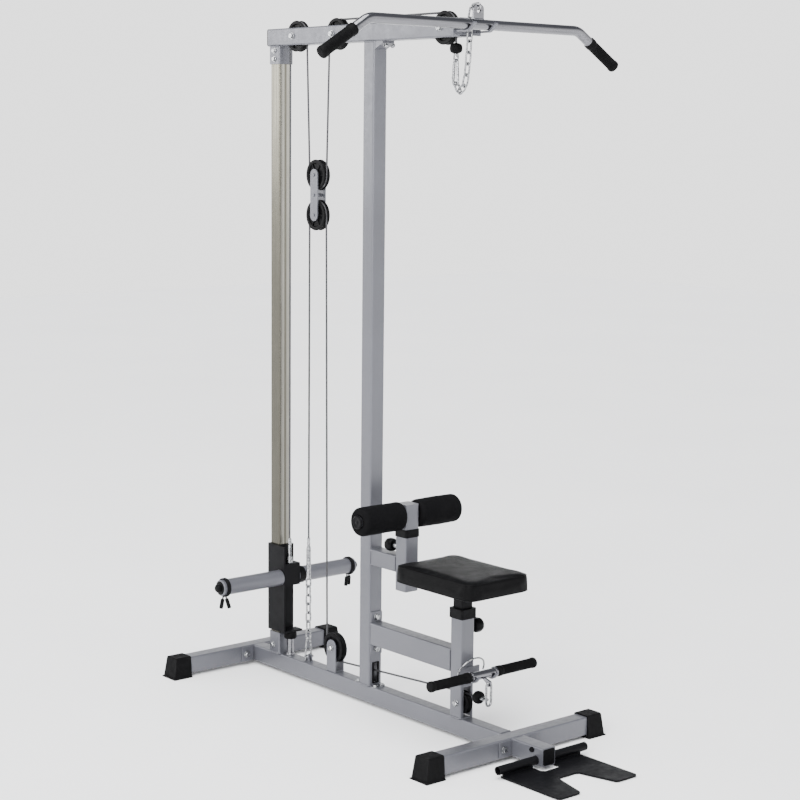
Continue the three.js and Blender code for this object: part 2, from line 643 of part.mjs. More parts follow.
// The lat bar is one bent tube; each end drops at an angle past its bend.
function latBarStations() {
  const { z, halfStraight, bend, tail } = LAT_BAR;
  const angle = THREE.MathUtils.degToRad(LAT_BAR.drop);
  const steps = 5;
  const half = [];
  for (let i = 0; i <= steps; i += 1) {
    const a = (angle * i) / steps;
    const drop = bend * (1 - Math.cos(a));
    half.push([halfStraight + bend * Math.sin(a), z - drop, Math.cos(a), -Math.sin(a)]);
  }
  const [endX, endZ] = half[steps];
  half.push([endX + tail * Math.cos(angle), endZ - tail * Math.sin(angle), Math.cos(angle), -Math.sin(angle)]);
  const make = (x, high, dx, dz) => ({
    point: new THREE.Vector3(x, LAT_BAR.y, high), direction: new THREE.Vector3(dx, 0, dz),
  });
  const left = half.map(([x, high, dx, dz]) => make(-x, high, dx, -dz)).reverse();
  return [...left, ...half.map((values) => make(...values))];
}

function gripProfile(length, radius, bore, cap) {
  const depth = length - cap;
  return [
    [0, length], [radius - 3, length], [radius, length - 3], [radius, 2], [radius - 2, 0],
    [bore, 0], [bore, depth], [0, depth],
  ];
}

function addLatBar() {
  const stations = latBarStations();
  const bar = sweep(stations, LAT_BAR.radius, 12, LAT_BAR.radius - LAT_BAR.wall);
  const tabHeight = LAT_TAB.top - LAT_BAR.z;
  const outline = new THREE.Shape();
  const half = LAT_TAB.width / 2;
  outline.moveTo(-half, 0);
  outline.lineTo(half, 0);
  outline.lineTo(half, tabHeight - 12);
  outline.absarc(half - 12, tabHeight - 12, 12, 0, Math.PI / 2, false);
  outline.absarc(12 - half, tabHeight - 12, 12, Math.PI / 2, Math.PI, false);
  const hole = new THREE.Path();
  hole.absarc(0, LAT_TAB.holeZ - LAT_BAR.z, LAT_TAB.hole, 0, 2 * Math.PI, true);
  outline.holes.push(hole);
  const tab = extrude(outline, LAT_TAB.thickness, 'y', 5).translate(0, LAT_BAR.y, LAT_BAR.z);
  add('lat_bar', fuse(bar, tab), MATERIAL.chrome);
  const end = stations[stations.length - 1].point;
  const angle = THREE.MathUtils.degToRad(LAT_BAR.drop);
  const profile = gripProfile(LAT_GRIP.length, LAT_GRIP.radius, LAT_BAR.radius + CLEARANCE, LAT_GRIP.cap);
  const back = LAT_GRIP.length - LAT_GRIP.cap - CLEARANCE;
  [-1, 1].forEach((side) => {
    const grip = turned(profile, 'x', 20).rotateY(angle);
    if (side < 0) grip.rotateZ(Math.PI);
    const x = side * (end.x - back * Math.cos(angle));
    const z = end.z + back * Math.sin(angle);
    add(`lat_grip_${side < 0 ? 'left' : 'right'}`, grip, MATERIAL.foam, x, LAT_BAR.y, z);
  });
}

function addRowBar() {
  const { y, z, radius, halfLength, gripStart } = ROW_BAR;
  const bar = rod(radius, 2 * halfLength, 'x', 16).translate(0, y, z);
  const linkY = ROW_LINK.y;
  const side = new THREE.Shape();
  side.moveTo(y + 8, z - 4);
  side.lineTo(y - 8, z - 4);
  side.lineTo(linkY - 9, z - 14);
  side.lineTo(linkY - 9, z - 22);
  side.absarc(linkY, z - 22, 9, Math.PI, 2 * Math.PI, false);
  const hole = new THREE.Path();
  hole.absarc(linkY, z - 20, 5.5, 0, 2 * Math.PI, true);
  side.holes.push(hole);
  add('row_bar', fuse(bar, extrude(side, 6, 'x', 5)), MATERIAL.chrome);
  const length = halfLength - gripStart + ROW_GRIP.cap + CLEARANCE;
  const profile = gripProfile(length, ROW_GRIP.radius, radius + CLEARANCE, ROW_GRIP.cap);
  [-1, 1].forEach((s) => {
    const grip = turned(profile, 'x', 20);
    if (s < 0) grip.rotateZ(Math.PI);
    add(`row_grip_${s < 0 ? 'left' : 'right'}`, grip, MATERIAL.foam, s * gripStart, y, z);
  });
}

function addRowEnd() {
  const z = wheels.lowFront.z + wheels.lowFront.pitch;
  const { radius, length } = STOP;
  const back = LOW_STOP.back;
  const start = LOW_FRONT.y - CLEARANCE;
  const stub = rod(CABLE.diameter / 2, start - back + 10, 'y', 8).translate(0, (start + back - 10) / 2, z);
  const ball = turned(stopProfile(radius, length), 'y', 16).translate(0, back - length, z);
  const eyeMiddle = (back - length + ROW_LINK.y) / 2 - 1;
  const eye = ring(38, 20, 6).rotateZ(Math.PI / 2).rotateX(Math.PI / 2).translate(0, eyeMiddle, z);
  const { bottom, height, width, wire } = ROW_LINK;
  const link = ring(height, width, wire, 6).translate(0, ROW_LINK.y, bottom + height / 2);
  add('row_cable_end', fuse(stub, ball, eye, link), MATERIAL.zinc);
}

// Seat: beam, slotted post, telescoping stem, pad and pop-pin.
function pinProfile(tip, neck, length, radius) {
  return [
    [0, neck + length], [radius - 5, neck + length], [radius, neck + length - 6], [radius, neck + 8],
    [radius - 4, neck], [9, neck], [9, 0], [5, 0], [5, -tip], [0, -tip],
  ];
}

function addSeatFrame() {
  const { y, width, top, slotWidth, slotBottom, slotTop } = SEAT_POST;
  const start = -UPRIGHT.width / 2;
  const end = y + width / 2;
  const beamHeight = SEAT_BEAM.top - SEAT_BEAM.bottom;
  const beam = tube(SEAT_BEAM.width, beamHeight, WALL, start - end, 'y', 6);
  add('seat_beam', beam, MATERIAL.frame, 0, (start + end) / 2, SEAT_BEAM.bottom + beamHeight / 2);
  const height = top - BASE.top;
  const post = tube(width, width, WALL, height, 'z').translate(0, y, BASE.top + height / 2);
  const slot = block(slotWidth, width + 30, slotTop - slotBottom, 0, y, (slotTop + slotBottom) / 2);
  const hole = rod(5.5, 20, 'x', 16).translate(width / 2, y, SEAT_PIN.z);
  const axle = rod(SMALL_WHEEL.axle, width, 'x', 16).translate(0, LOW_FRONT.y, LOW_FRONT.z);
  add('seat_post', fuse(cut(post, slot, hole), axle), MATERIAL.frame);
  const cradle = hooks(ROW_HOOK, ROW_BAR, y - width / 2, SEAT_POST.slotTop + 16, ROW_BAR.z + 8);
  add('row_bar_hooks', cradle, MATERIAL.frame);
}

function collar(outerTube, stemWidth, { height, skirt, wall }) {
  const outer = outerTube + 2 * wall;
  const upper = height - skirt;
  const lift = height / 2 - skirt;
  const body = extrude(roundedRect(outer, outer, 7), height, 'z').translate(0, 0, lift);
  const bore = extrude(roundedRect(stemWidth + 1, stemWidth + 1, 5), 2 * upper + 20, 'z');
  const mouth = extrude(roundedRect(outerTube + 0.6, outerTube + 0.6, 5), 2 * skirt, 'z');
  return cut(body, bore, mouth.translate(0, 0, -skirt + CLEARANCE));
}

function addSeat() {
  const { y, width, top } = SEAT_POST;
  add('seat_collar', collar(width, SEAT_STEM.width, SEAT_COLLAR), MATERIAL.nylon, 0, y, top);
  const height = SEAT_STEM.top - SEAT_STEM.bottom;
  const stem = tube(SEAT_STEM.width, SEAT_STEM.width, SEAT_STEM.wall, height, 'z');
  const plate = block(150, 180, 5, 0, SEAT_PAD.y - y, height / 2 + 2);
  add('seat_stem', fuse(stem, plate), MATERIAL.black, 0, y, SEAT_STEM.bottom + height / 2);
  const { width: padWidth, depth, height: padHeight, corner, edge } = SEAT_PAD;
  const outline = roundedRect(padWidth - 2 * edge, depth - 2 * edge, corner - edge);
  const pad = new THREE.ExtrudeGeometry(outline, {
    depth: padHeight - 2 * edge,
    bevelEnabled: true,
    bevelSize: edge,
    bevelThickness: edge,
    bevelSegments: 2,
    curveSegments: 3,
  });
  const under = SEAT_STEM.top + 4.5 + CLEARANCE;
  add('seat_pad', pad, MATERIAL.vinyl, 0, SEAT_PAD.y, under + edge);
  const pin = turned(pinProfile(3, SEAT_PIN.neck, SEAT_PIN.length, SEAT_PIN.radius), 'x', 20);
  add('seat_pin', pin, MATERIAL.nylon, width / 2 + CLEARANCE, y, SEAT_PIN.z);
}

// Thigh holder: arm, sleeve, telescoping head with its axle, and two foam rollers.
function addThighFrame() {
  const { y, width, bottom, top, armBottom, armTop } = THIGH;
  const height = top - bottom;
  const sleeve = tube(width, width, WALL, height, 'z').translate(0, y, bottom + height / 2);
  const start = -UPRIGHT.width / 2;
  const end = y + width / 2 - 1;
  const armHeight = armTop - armBottom;
  const armMiddle = armBottom + armHeight / 2;
  const arm = tube(width, armHeight, WALL, start - end, 'y').translate(0, (start + end) / 2, armMiddle);
  const hole = rod(5.5, 20, 'y', 16).translate(0, y + width / 2, THIGH_PIN.z);
  add('thigh_bracket', cut(fuse(sleeve, arm), hole), MATERIAL.frame);
  add('thigh_collar', collar(width, THIGH_STEM.width, THIGH_COLLAR), MATERIAL.nylon, 0, y, top);
}

function addThigh() {
  const { y, width } = THIGH;
  const { bottom, headBottom, headTop } = THIGH_STEM;
  const height = headBottom - bottom + 2;
  const { width: inner, wall } = THIGH_STEM;
  const stem = tube(inner, inner, wall, height, 'z').translate(0, 0, bottom + height / 2);
  const headHeight = headTop - headBottom;
  const headMiddle = headBottom + headHeight / 2;
  const head = extrude(roundedRect(width, width, 5), headHeight, 'z').translate(0, 0, headMiddle);
  const reach = ROLLER.start + ROLLER.length + 1;
  const axle = rod(ROLLER.axle, 2 * reach + 6, 'x', 16).translate(0, 0, ROLLER.z);
  const washers = [-1, 1].map((side) => rod(20, 4, 'x', 16).translate(side * (reach + 2), 0, ROLLER.z));
  add('thigh_stem', fuse(stem, head, axle, ...washers), MATERIAL.frame, 0, y, 0);
  const { bore, radius, length } = ROLLER;
  const profile = [
    [bore, 0], [radius - 8, 0], [radius - 2, 2], [radius, 8], [radius, length - 8],
    [radius - 2, length - 2], [radius - 8, length], [bore, length], [bore, 0],
  ];
  add('thigh_roller_left', turned(profile, 'x'), MATERIAL.foam, -ROLLER.start - length, y, ROLLER.z);
  add('thigh_roller_right', turned(profile, 'x'), MATERIAL.foam, ROLLER.start, y, ROLLER.z);
  const pin = turned(pinProfile(3, THIGH_PIN.neck, THIGH_PIN.length, THIGH_PIN.radius), 'y', 20);
  add('thigh_pin', pin, MATERIAL.nylon, 0, y + width / 2 + CLEARANCE, THIGH_PIN.z);
}

// Foot plate: a notched plate that tilts up on a tube through the base stub.
function addFootPlate() {
  const { y, z, tube: diameter, width, thickness, bottom, front } = FOOT_PLATE;
  const { halfFront, halfRoot, root, halfRear, rear } = FOOT_NOTCH;
  const half = width / 2;
  const back = y + 5;
  const outline = new THREE.Shape([
    [-half, back], [-half, front + 8], [8 - half, front], [-halfFront - 8, front], [-halfFront, front + 6],
    [-halfRoot - 3, root - 5], [6 - halfRoot, root], [halfRoot - 6, root], [halfRoot + 3, root - 5],
    [halfFront, front + 6], [halfFront + 8, front], [half - 8, front], [half, front + 8], [half, back],
    [halfRear, back], [halfRear, rear + 8], [halfRear - 8, rear], [8 - halfRear, rear],
    [-halfRear, rear + 8], [-halfRear, back],
  ].map(([px, py]) => new THREE.Vector2(px, py)));
  const plate = extrude(outline, thickness, 'z').translate(0, 0, bottom + thickness / 2);
  const ribHeight = z - bottom - 4;
  const ribWidth = half - halfRear - 8;
  const ribs = [-1, 1].map((side) => (
    block(ribWidth, 8, ribHeight, side * (half - 4 - ribWidth / 2), y, bottom + 4 + ribHeight / 2)));
  const hinge = rod(diameter / 2, width + 34, 'x', 16).translate(0, y, z);
  add('foot_plate', fuse(plate, ...ribs, hinge), MATERIAL.black);
}

addBase();
addStub();
addUpright();
addBoom();
add('lat_bar_hooks', hooks(HOOK, LAT_BAR, BOOM.front, BOOM.bottom + 4, BOOM.bottom + 36), MATERIAL.frame);
addGuide();
addCarriage();
addHorns();
addClevis();
addWheels();
addFloatBracket();
addLowBracket();
addCables();
addAnchor();
addHighEnd();
addLatBar();
addRowBar();
addRowEnd();
addSeatFrame();
addSeat();
addThighFrame();
addThigh();
addFootPlate();

// The machine is built around its upright, then moved so that its footprint is centred on the origin.
machine.position.y = -(FOOT_PLATE.front + REAR_FOOT.y + FOOT_CAP.halfFloor) / 2;

export default machine;
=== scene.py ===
"""Builds the looks of a plate-loaded lat pulldown and low row machine around its CAD frame."""

import json
import math

import bmesh
import bpy
from mathutils import Matrix, Vector
from mathutils.bvhtree import BVHTree
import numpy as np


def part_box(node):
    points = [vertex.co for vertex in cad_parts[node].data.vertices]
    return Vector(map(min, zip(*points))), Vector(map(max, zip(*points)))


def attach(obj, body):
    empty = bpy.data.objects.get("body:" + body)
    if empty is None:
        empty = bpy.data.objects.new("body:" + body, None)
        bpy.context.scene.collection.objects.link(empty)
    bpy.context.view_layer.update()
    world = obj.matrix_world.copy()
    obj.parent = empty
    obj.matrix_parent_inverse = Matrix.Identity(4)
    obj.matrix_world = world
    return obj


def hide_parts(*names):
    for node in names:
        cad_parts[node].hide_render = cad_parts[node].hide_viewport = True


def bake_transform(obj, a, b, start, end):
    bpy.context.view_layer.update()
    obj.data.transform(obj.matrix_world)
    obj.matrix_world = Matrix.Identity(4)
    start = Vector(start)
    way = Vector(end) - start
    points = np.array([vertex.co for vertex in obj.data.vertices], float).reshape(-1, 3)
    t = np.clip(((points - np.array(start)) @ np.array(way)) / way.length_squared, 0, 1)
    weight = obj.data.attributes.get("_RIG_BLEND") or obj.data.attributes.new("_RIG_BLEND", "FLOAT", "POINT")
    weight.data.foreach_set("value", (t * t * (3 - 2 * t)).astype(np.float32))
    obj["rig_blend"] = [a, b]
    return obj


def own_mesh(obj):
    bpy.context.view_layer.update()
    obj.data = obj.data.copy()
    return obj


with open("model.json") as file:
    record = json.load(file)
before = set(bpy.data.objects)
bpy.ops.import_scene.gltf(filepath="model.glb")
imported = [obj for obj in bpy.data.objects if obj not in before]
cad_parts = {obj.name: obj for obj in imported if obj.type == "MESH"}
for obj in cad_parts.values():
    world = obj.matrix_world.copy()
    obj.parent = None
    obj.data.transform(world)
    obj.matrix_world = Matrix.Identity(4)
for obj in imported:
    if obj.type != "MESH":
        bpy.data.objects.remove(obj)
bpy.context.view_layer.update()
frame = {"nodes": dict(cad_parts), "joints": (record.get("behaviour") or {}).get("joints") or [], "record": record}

NODE_BODY = {n: b for b, ns in frame["record"]["behaviour"]["bodies"].items() for n in ns}
NODE_SLOT = {s["node"]: s["material_slot"] for s in frame["record"]["subparts"]}

# Camera, in metres and degrees. The frame's origin is the centre of the footprint.
CAMERA_PLACE = (-3.546, -4.153, 1.7411)
CAMERA_TURN = -40.486
CAMERA_DIP = 8.692
CAMERA_ROLL = 0.647
CAMERA_LENS = 83.4
CAMERA_SHIFT = (-0.01, 0.0288)

CABLE_RADIUS = 0.003
GROOVE = 0.005
SMALL_GROOVE = 0.0045
WALL = 0.003
PLATE = 0.004
STOP = 0.030

X = Vector((1, 0, 0))
Y = Vector((0, 1, 0))
Z = Vector((0, 0, 1))


# ---------------------------------------------------------------- places
def low(node):
    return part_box(node)[0]


def high(node):
    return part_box(node)[1]


def centre(node):
    a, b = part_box(node)
    return (a + b) / 2


def span(node):
    a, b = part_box(node)
    return b - a


# ---------------------------------------------------------------- materials
class Shade:
    """A procedural material: a Principled shader with noise-driven colour, roughness and bump."""

    def __init__(self, name, metallic=0.0, **sockets):
        self.material = bpy.data.materials.new(name)
        self.material.use_nodes = True
        self.tree = self.material.node_tree
        self.shader = self.tree.nodes["Principled BSDF"]
        self.shader.inputs["Metallic"].default_value = metallic
        for key, value in sockets.items():
            self.shader.inputs[key.replace("_", " ")].default_value = value
        self.place = self.tree.nodes.new("ShaderNodeTexCoord").outputs["Object"]
        self.normal = None

    def node(self, kind, inputs=(), **settings):
        made = self.tree.nodes.new(kind)
        for key, value in settings.items():
            setattr(made, key, value)
        for key, value in dict(inputs).items():
            if isinstance(value, bpy.types.NodeSocket):
                self.tree.links.new(value, made.inputs[key])
            else:
                made.inputs[key].default_value = value
        return made

    def stretched(self, scale):
        return self.node("ShaderNodeMapping", {"Vector": self.place, "Scale": scale}).outputs[0]

    def noise(self, scale, detail=3.0, roughness=0.55, stretch=None, distortion=0.0):
        place = self.stretched(stretch) if stretch else self.place
        values = {"Vector": place, "Scale": scale, "Detail": detail, "Roughness": roughness}
        values["Distortion"] = distortion
        return self.node("ShaderNodeTexNoise", values).outputs["Fac"]

    def cells(self, scale, feature="F1"):
        made = self.node("ShaderNodeTexVoronoi", {"Vector": self.place, "Scale": scale}, feature=feature)
        return made.outputs["Distance"]

    def ramp(self, source, low_end, high_end, start=0.3, end=0.7):
        made = self.node("ShaderNodeValToRGB", {"Fac": source})
        first, last = made.color_ramp.elements
        first.position, last.position = start, end
        first.color, last.color = [self.as_colour(c) for c in (low_end, high_end)]
        return made.outputs["Color"]

    @staticmethod
    def as_colour(value):
        return (value, value, value, 1) if isinstance(value, (int, float)) else (*value, 1)

    def mix(self, factor, first, second, blend="MIX"):
        made = self.node("ShaderNodeMix", data_type="RGBA", blend_type=blend)
        for socket, value in ((made.inputs[0], factor), (made.inputs[6], first), (made.inputs[7], second)):
            if isinstance(value, bpy.types.NodeSocket):
                self.tree.links.new(value, socket)
            else:
                socket.default_value = value if socket.type == "VALUE" else self.as_colour(value)
        return made.outputs[2]

    def colour(self, source):
        self.tree.links.new(source, self.shader.inputs["Base Color"])

    def rough(self, source, least, most):
        values = {"Value": source, "To Min": least, "To Max": most, "From Min": 0.3, "From Max": 0.7}
        made = self.node("ShaderNodeMapRange", values)
        self.tree.links.new(made.outputs[0], self.shader.inputs["Roughness"])

    def bump(self, height, distance, strength=1.0):
        values = {"Height": height, "Distance": distance, "Strength": strength}
        if self.normal:
            values["Normal"] = self.normal
        self.normal = self.node("ShaderNodeBump", values).outputs[0]
        self.tree.links.new(self.normal, self.shader.inputs["Normal"])

    def upward(self):
        """How far a surface faces up, from 0 to 1."""
        geometry = self.node("ShaderNodeNewGeometry")
        parts = self.node("ShaderNodeSeparateXYZ", {"Vector": geometry.outputs["Normal"]})
        return parts.outputs["Z"]


def grey_paint():
    """Silver-grey powder coat: metal flake, slight orange peel, rub marks, and painted shade that darkens the faces
    which point up.
    """
    s = Shade("silver_powder_coat", 0.35, Coat_Weight=0.15, Coat_Roughness=0.22)
    flake = s.ramp(s.noise(1400, 2), (0.081, 0.083, 0.097), (0.137, 0.139, 0.158), 0.35, 0.65)
    tone = s.ramp(s.noise(3.5, 4), 0.84, 1.0)
    body = s.mix(1.0, flake, tone, "MULTIPLY")
    rubbed = s.ramp(s.noise(30, 8, 0.75, distortion=0.4), 0.0, 1.0, 0.66, 0.76)
    worn = s.mix(rubbed, body, (0.175, 0.175, 0.19))
    # Painted shade: faces that point up, found from the surface normal, are mixed towards a darker grey.
    shade = s.mix(s.ramp(s.upward(), 0.0, 0.30, 0.80, 1.0), worn, (0.060, 0.061, 0.066))
    s.colour(shade)
    s.rough(s.noise(60, 5), 0.28, 0.44)
    s.bump(s.noise(420, 2, 0.5), 0.00008, 0.5)
    s.bump(s.noise(35, 6, 0.7), 0.00012, 0.25)
    return s.material


def black_paint():
    """Satin black powder coat with a fine wrinkle and lighter scuffs."""
    s = Shade("black_powder_coat", Specular_IOR_Level=0.06)
    base = s.ramp(s.noise(700, 2), (0.0025, 0.0025, 0.003), (0.006, 0.006, 0.007))
    scuffs = s.ramp(s.noise(26, 9, 0.8, distortion=0.8), 0.0, 0.5, 0.64, 0.74)
    s.colour(s.mix(scuffs, base, (0.016, 0.016, 0.017)))
    s.rough(s.noise(45, 6), 0.34, 0.54)
    s.bump(s.noise(520, 3, 0.6), 0.00015, 0.55)
    return s.material


def warm_chrome():
    """Yellowish bright plate on the guide post, with painted reflections as soft light and dark bands that run
    lengthwise, and painted shade that darkens it towards the bottom.
    """
    s = Shade("warm_chrome", 1.0)
    parts = s.node("ShaderNodeSeparateXYZ", {"Vector": s.place})
    # Painted reflection: light and dark bands across the post stand in for the surroundings mirrored in the chrome.
    band = s.node("ShaderNodeMath", {0: parts.outputs["X"], 1: 270.0}, operation="MULTIPLY").outputs[0]
    wave = s.node("ShaderNodeMath", {0: band}, operation="COSINE").outputs[0]
    soft = s.mix(0.35, wave, s.noise(60, 3, stretch=(1, 1, 0.004)))
    tone = s.ramp(soft, (0.40, 0.39, 0.345), (0.135, 0.128, 0.103), 0.1, 0.75)
    dulled = s.mix(s.ramp(s.noise(6, 6, 0.7), 0.0, 0.35), tone, (0.22, 0.21, 0.17))
    # Painted shade: the plate gets darker towards the bottom, by height.
    rise = {"Value": parts.outputs["Z"], "From Min": 0.4, "From Max": 1.9}
    painted_low_shade = s.ramp(s.node("ShaderNodeMapRange", rise).outputs[0], 0.52, 1.0, 0.0, 1.0)
    s.colour(s.mix(1.0, dulled, painted_low_shade, "MULTIPLY"))
    s.rough(s.noise(200, 4, stretch=(1, 1, 0.01)), 0.16, 0.34)
    s.bump(s.noise(900, 2, 0.5, stretch=(1, 1, 0.02)), 0.00002, 0.3)
    return s.material


def bar_chrome():
    """Polished chrome on the bars, with drawn grain, faint haze and finger marks."""
    s = Shade("bar_chrome", 1.0)
    grain = s.noise(220, 4, 0.6, stretch=(0.02, 1, 1))
    s.colour(s.ramp(grain, (0.125, 0.125, 0.134), (0.215, 0.215, 0.23), 0.25, 0.6))
    s.rough(s.mix(0.5, s.noise(260, 3, stretch=(0.02, 1, 1)), s.noise(9, 7, 0.7)), 0.12, 0.26)
    s.bump(s.noise(900, 2, 0.5, stretch=(0.02, 1, 1)), 0.00002, 0.3)
    return s.material


def zinc():
    """Bright zinc plate with a mottled spangle and dull hollows."""
    s = Shade("zinc_plate", 1.0)
    spangle = s.ramp(s.cells(160), (0.10, 0.104, 0.115), (0.40, 0.405, 0.41), 0.1, 0.8)
    tarnish = s.ramp(s.noise(50, 7, 0.7), 0.0, 0.5, 0.55, 0.8)
    s.colour(s.mix(tarnish, spangle, (0.20, 0.195, 0.18)))
    s.rough(s.noise(90, 5), 0.16, 0.36)
    s.bump(s.noise(500, 4, 0.6), 0.00006, 0.35)
    return s.material


def rubber():
    """Moulded black rubber: sandy grain, grey bloom and scuffs."""
    s = Shade("moulded_rubber", Specular_IOR_Level=0.05)
    base = s.ramp(s.noise(380, 4), (0.0018, 0.0018, 0.002), (0.005, 0.005, 0.0054))
    bloom = s.ramp(s.noise(22, 8, 0.7, distortion=0.5), 0.0, 0.5, 0.55, 0.8)
    s.colour(s.mix(bloom, base, (0.014, 0.014, 0.015)))
    s.rough(s.noise(70, 5), 0.48, 0.74)
    s.bump(s.noise(900, 3, 0.6), 0.00012, 0.6)
    return s.material


def nylon():
    """Satin black moulded nylon with faint flow marks."""
    s = Shade("moulded_nylon", Specular_IOR_Level=0.06)
    s.colour(s.ramp(s.noise(60, 5, distortion=1.2), (0.0015, 0.0015, 0.0018), (0.005, 0.005, 0.0056)))
    s.rough(s.noise(40, 6), 0.28, 0.48)
    s.bump(s.noise(650, 3, 0.55), 0.00008, 0.45)
    return s.material


def foam():
    """Closed-cell foam: a skin of fine pores, slightly chalky."""
    s = Shade("closed_cell_foam", Specular_IOR_Level=0.03)
    pores = s.cells(900)
    base = s.ramp(pores, (0.0015, 0.0015, 0.0017), (0.0045, 0.0045, 0.005), 0.05, 0.6)
    chalk = s.ramp(s.noise(24, 7, 0.7), 0.0, 0.35, 0.5, 0.8)
    s.colour(s.mix(chalk, base, (0.008, 0.008, 0.0086)))
    s.rough(s.noise(110, 5), 0.62, 0.86)
    s.bump(pores, 0.0003, 0.6)
    s.bump(s.noise(120, 6, 0.7), 0.0004, 0.4)
    return s.material


def vinyl():
    """Black upholstery vinyl with a leather grain, and soft creases."""
    s = Shade("grained_vinyl", Specular_IOR_Level=0.045)
    grain = s.cells(420, "DISTANCE_TO_EDGE")
    base = s.ramp(grain, (0.0012, 0.0012, 0.0014), (0.0035, 0.0035, 0.0038), 0.0, 0.18)
    s.colour(s.mix(s.ramp(s.noise(14, 6), 0.0, 0.3), base, (0.0045, 0.0045, 0.0048)))
    s.rough(s.noise(40, 6), 0.34, 0.44)
    s.bump(s.ramp(grain, 0.0, 1.0, 0.0, 0.16), 0.00025, 0.5)
    s.bump(s.noise(90, 5, 0.6, distortion=0.6), 0.0004, 0.25)
    return s.material


def steel_cable():
    """Steel rope under a thin smoked coat; the strands show as slanted bands."""
    s = Shade("coated_steel_cable", 0.5, Specular_IOR_Level=0.4)
    bands = s.node("ShaderNodeTexWave", {"Vector": s.place, "Scale": 160.0, "Distortion": 0.6},
                   bands_direction="DIAGONAL").outputs["Fac"]
    strands = s.ramp(bands, (0.018, 0.018, 0.020), (0.085, 0.085, 0.090))
    s.colour(s.mix(s.ramp(s.noise(80, 5), 0.0, 0.5), strands, (0.03, 0.03, 0.032)))
    s.rough(s.noise(150, 4), 0.26, 0.42)
    s.bump(bands, 0.0003, 0.6)
    return s.material


def floor_paint():
    s = Shade("studio_floor", Specular_IOR_Level=0.2)
    s.colour(s.ramp(s.noise(0.8, 4), (0.92, 0.92, 0.925), (0.95, 0.95, 0.95)))
    s.rough(s.noise(3, 5), 0.55, 0.7)
    s.bump(s.noise(60, 4), 0.0004, 0.12)
    return s.material


PAINT = grey_paint()
BLACK = black_paint()
CHROME = warm_chrome()
BAR_CHROME = bar_chrome()
ZINC = zinc()
RUBBER = rubber()
NYLON = nylon()
FOAM = foam()
VINYL = vinyl()
CABLE = steel_cable()
SLOT_MATERIAL = {
    "frame_paint": PAINT, "black_metal": BLACK, "chrome": CHROME, "zinc": ZINC, "rubber": RUBBER,
    "nylon": NYLON, "foam": FOAM, "vinyl": VINYL, "cable": CABLE,
}
MATERIAL_SLOT = {m: s for s, m in SLOT_MATERIAL.items()}
MATERIAL_SLOT[BAR_CHROME] = "chrome"


# ---------------------------------------------------------------- mesh building
def side_axes(direction):
    """Two unit vectors at right angles to a direction."""
    helper = Z if abs(direction.z) < 0.9 else Y
    u = direction.cross(helper).normalized()
    return u, direction.cross(u).normalized()


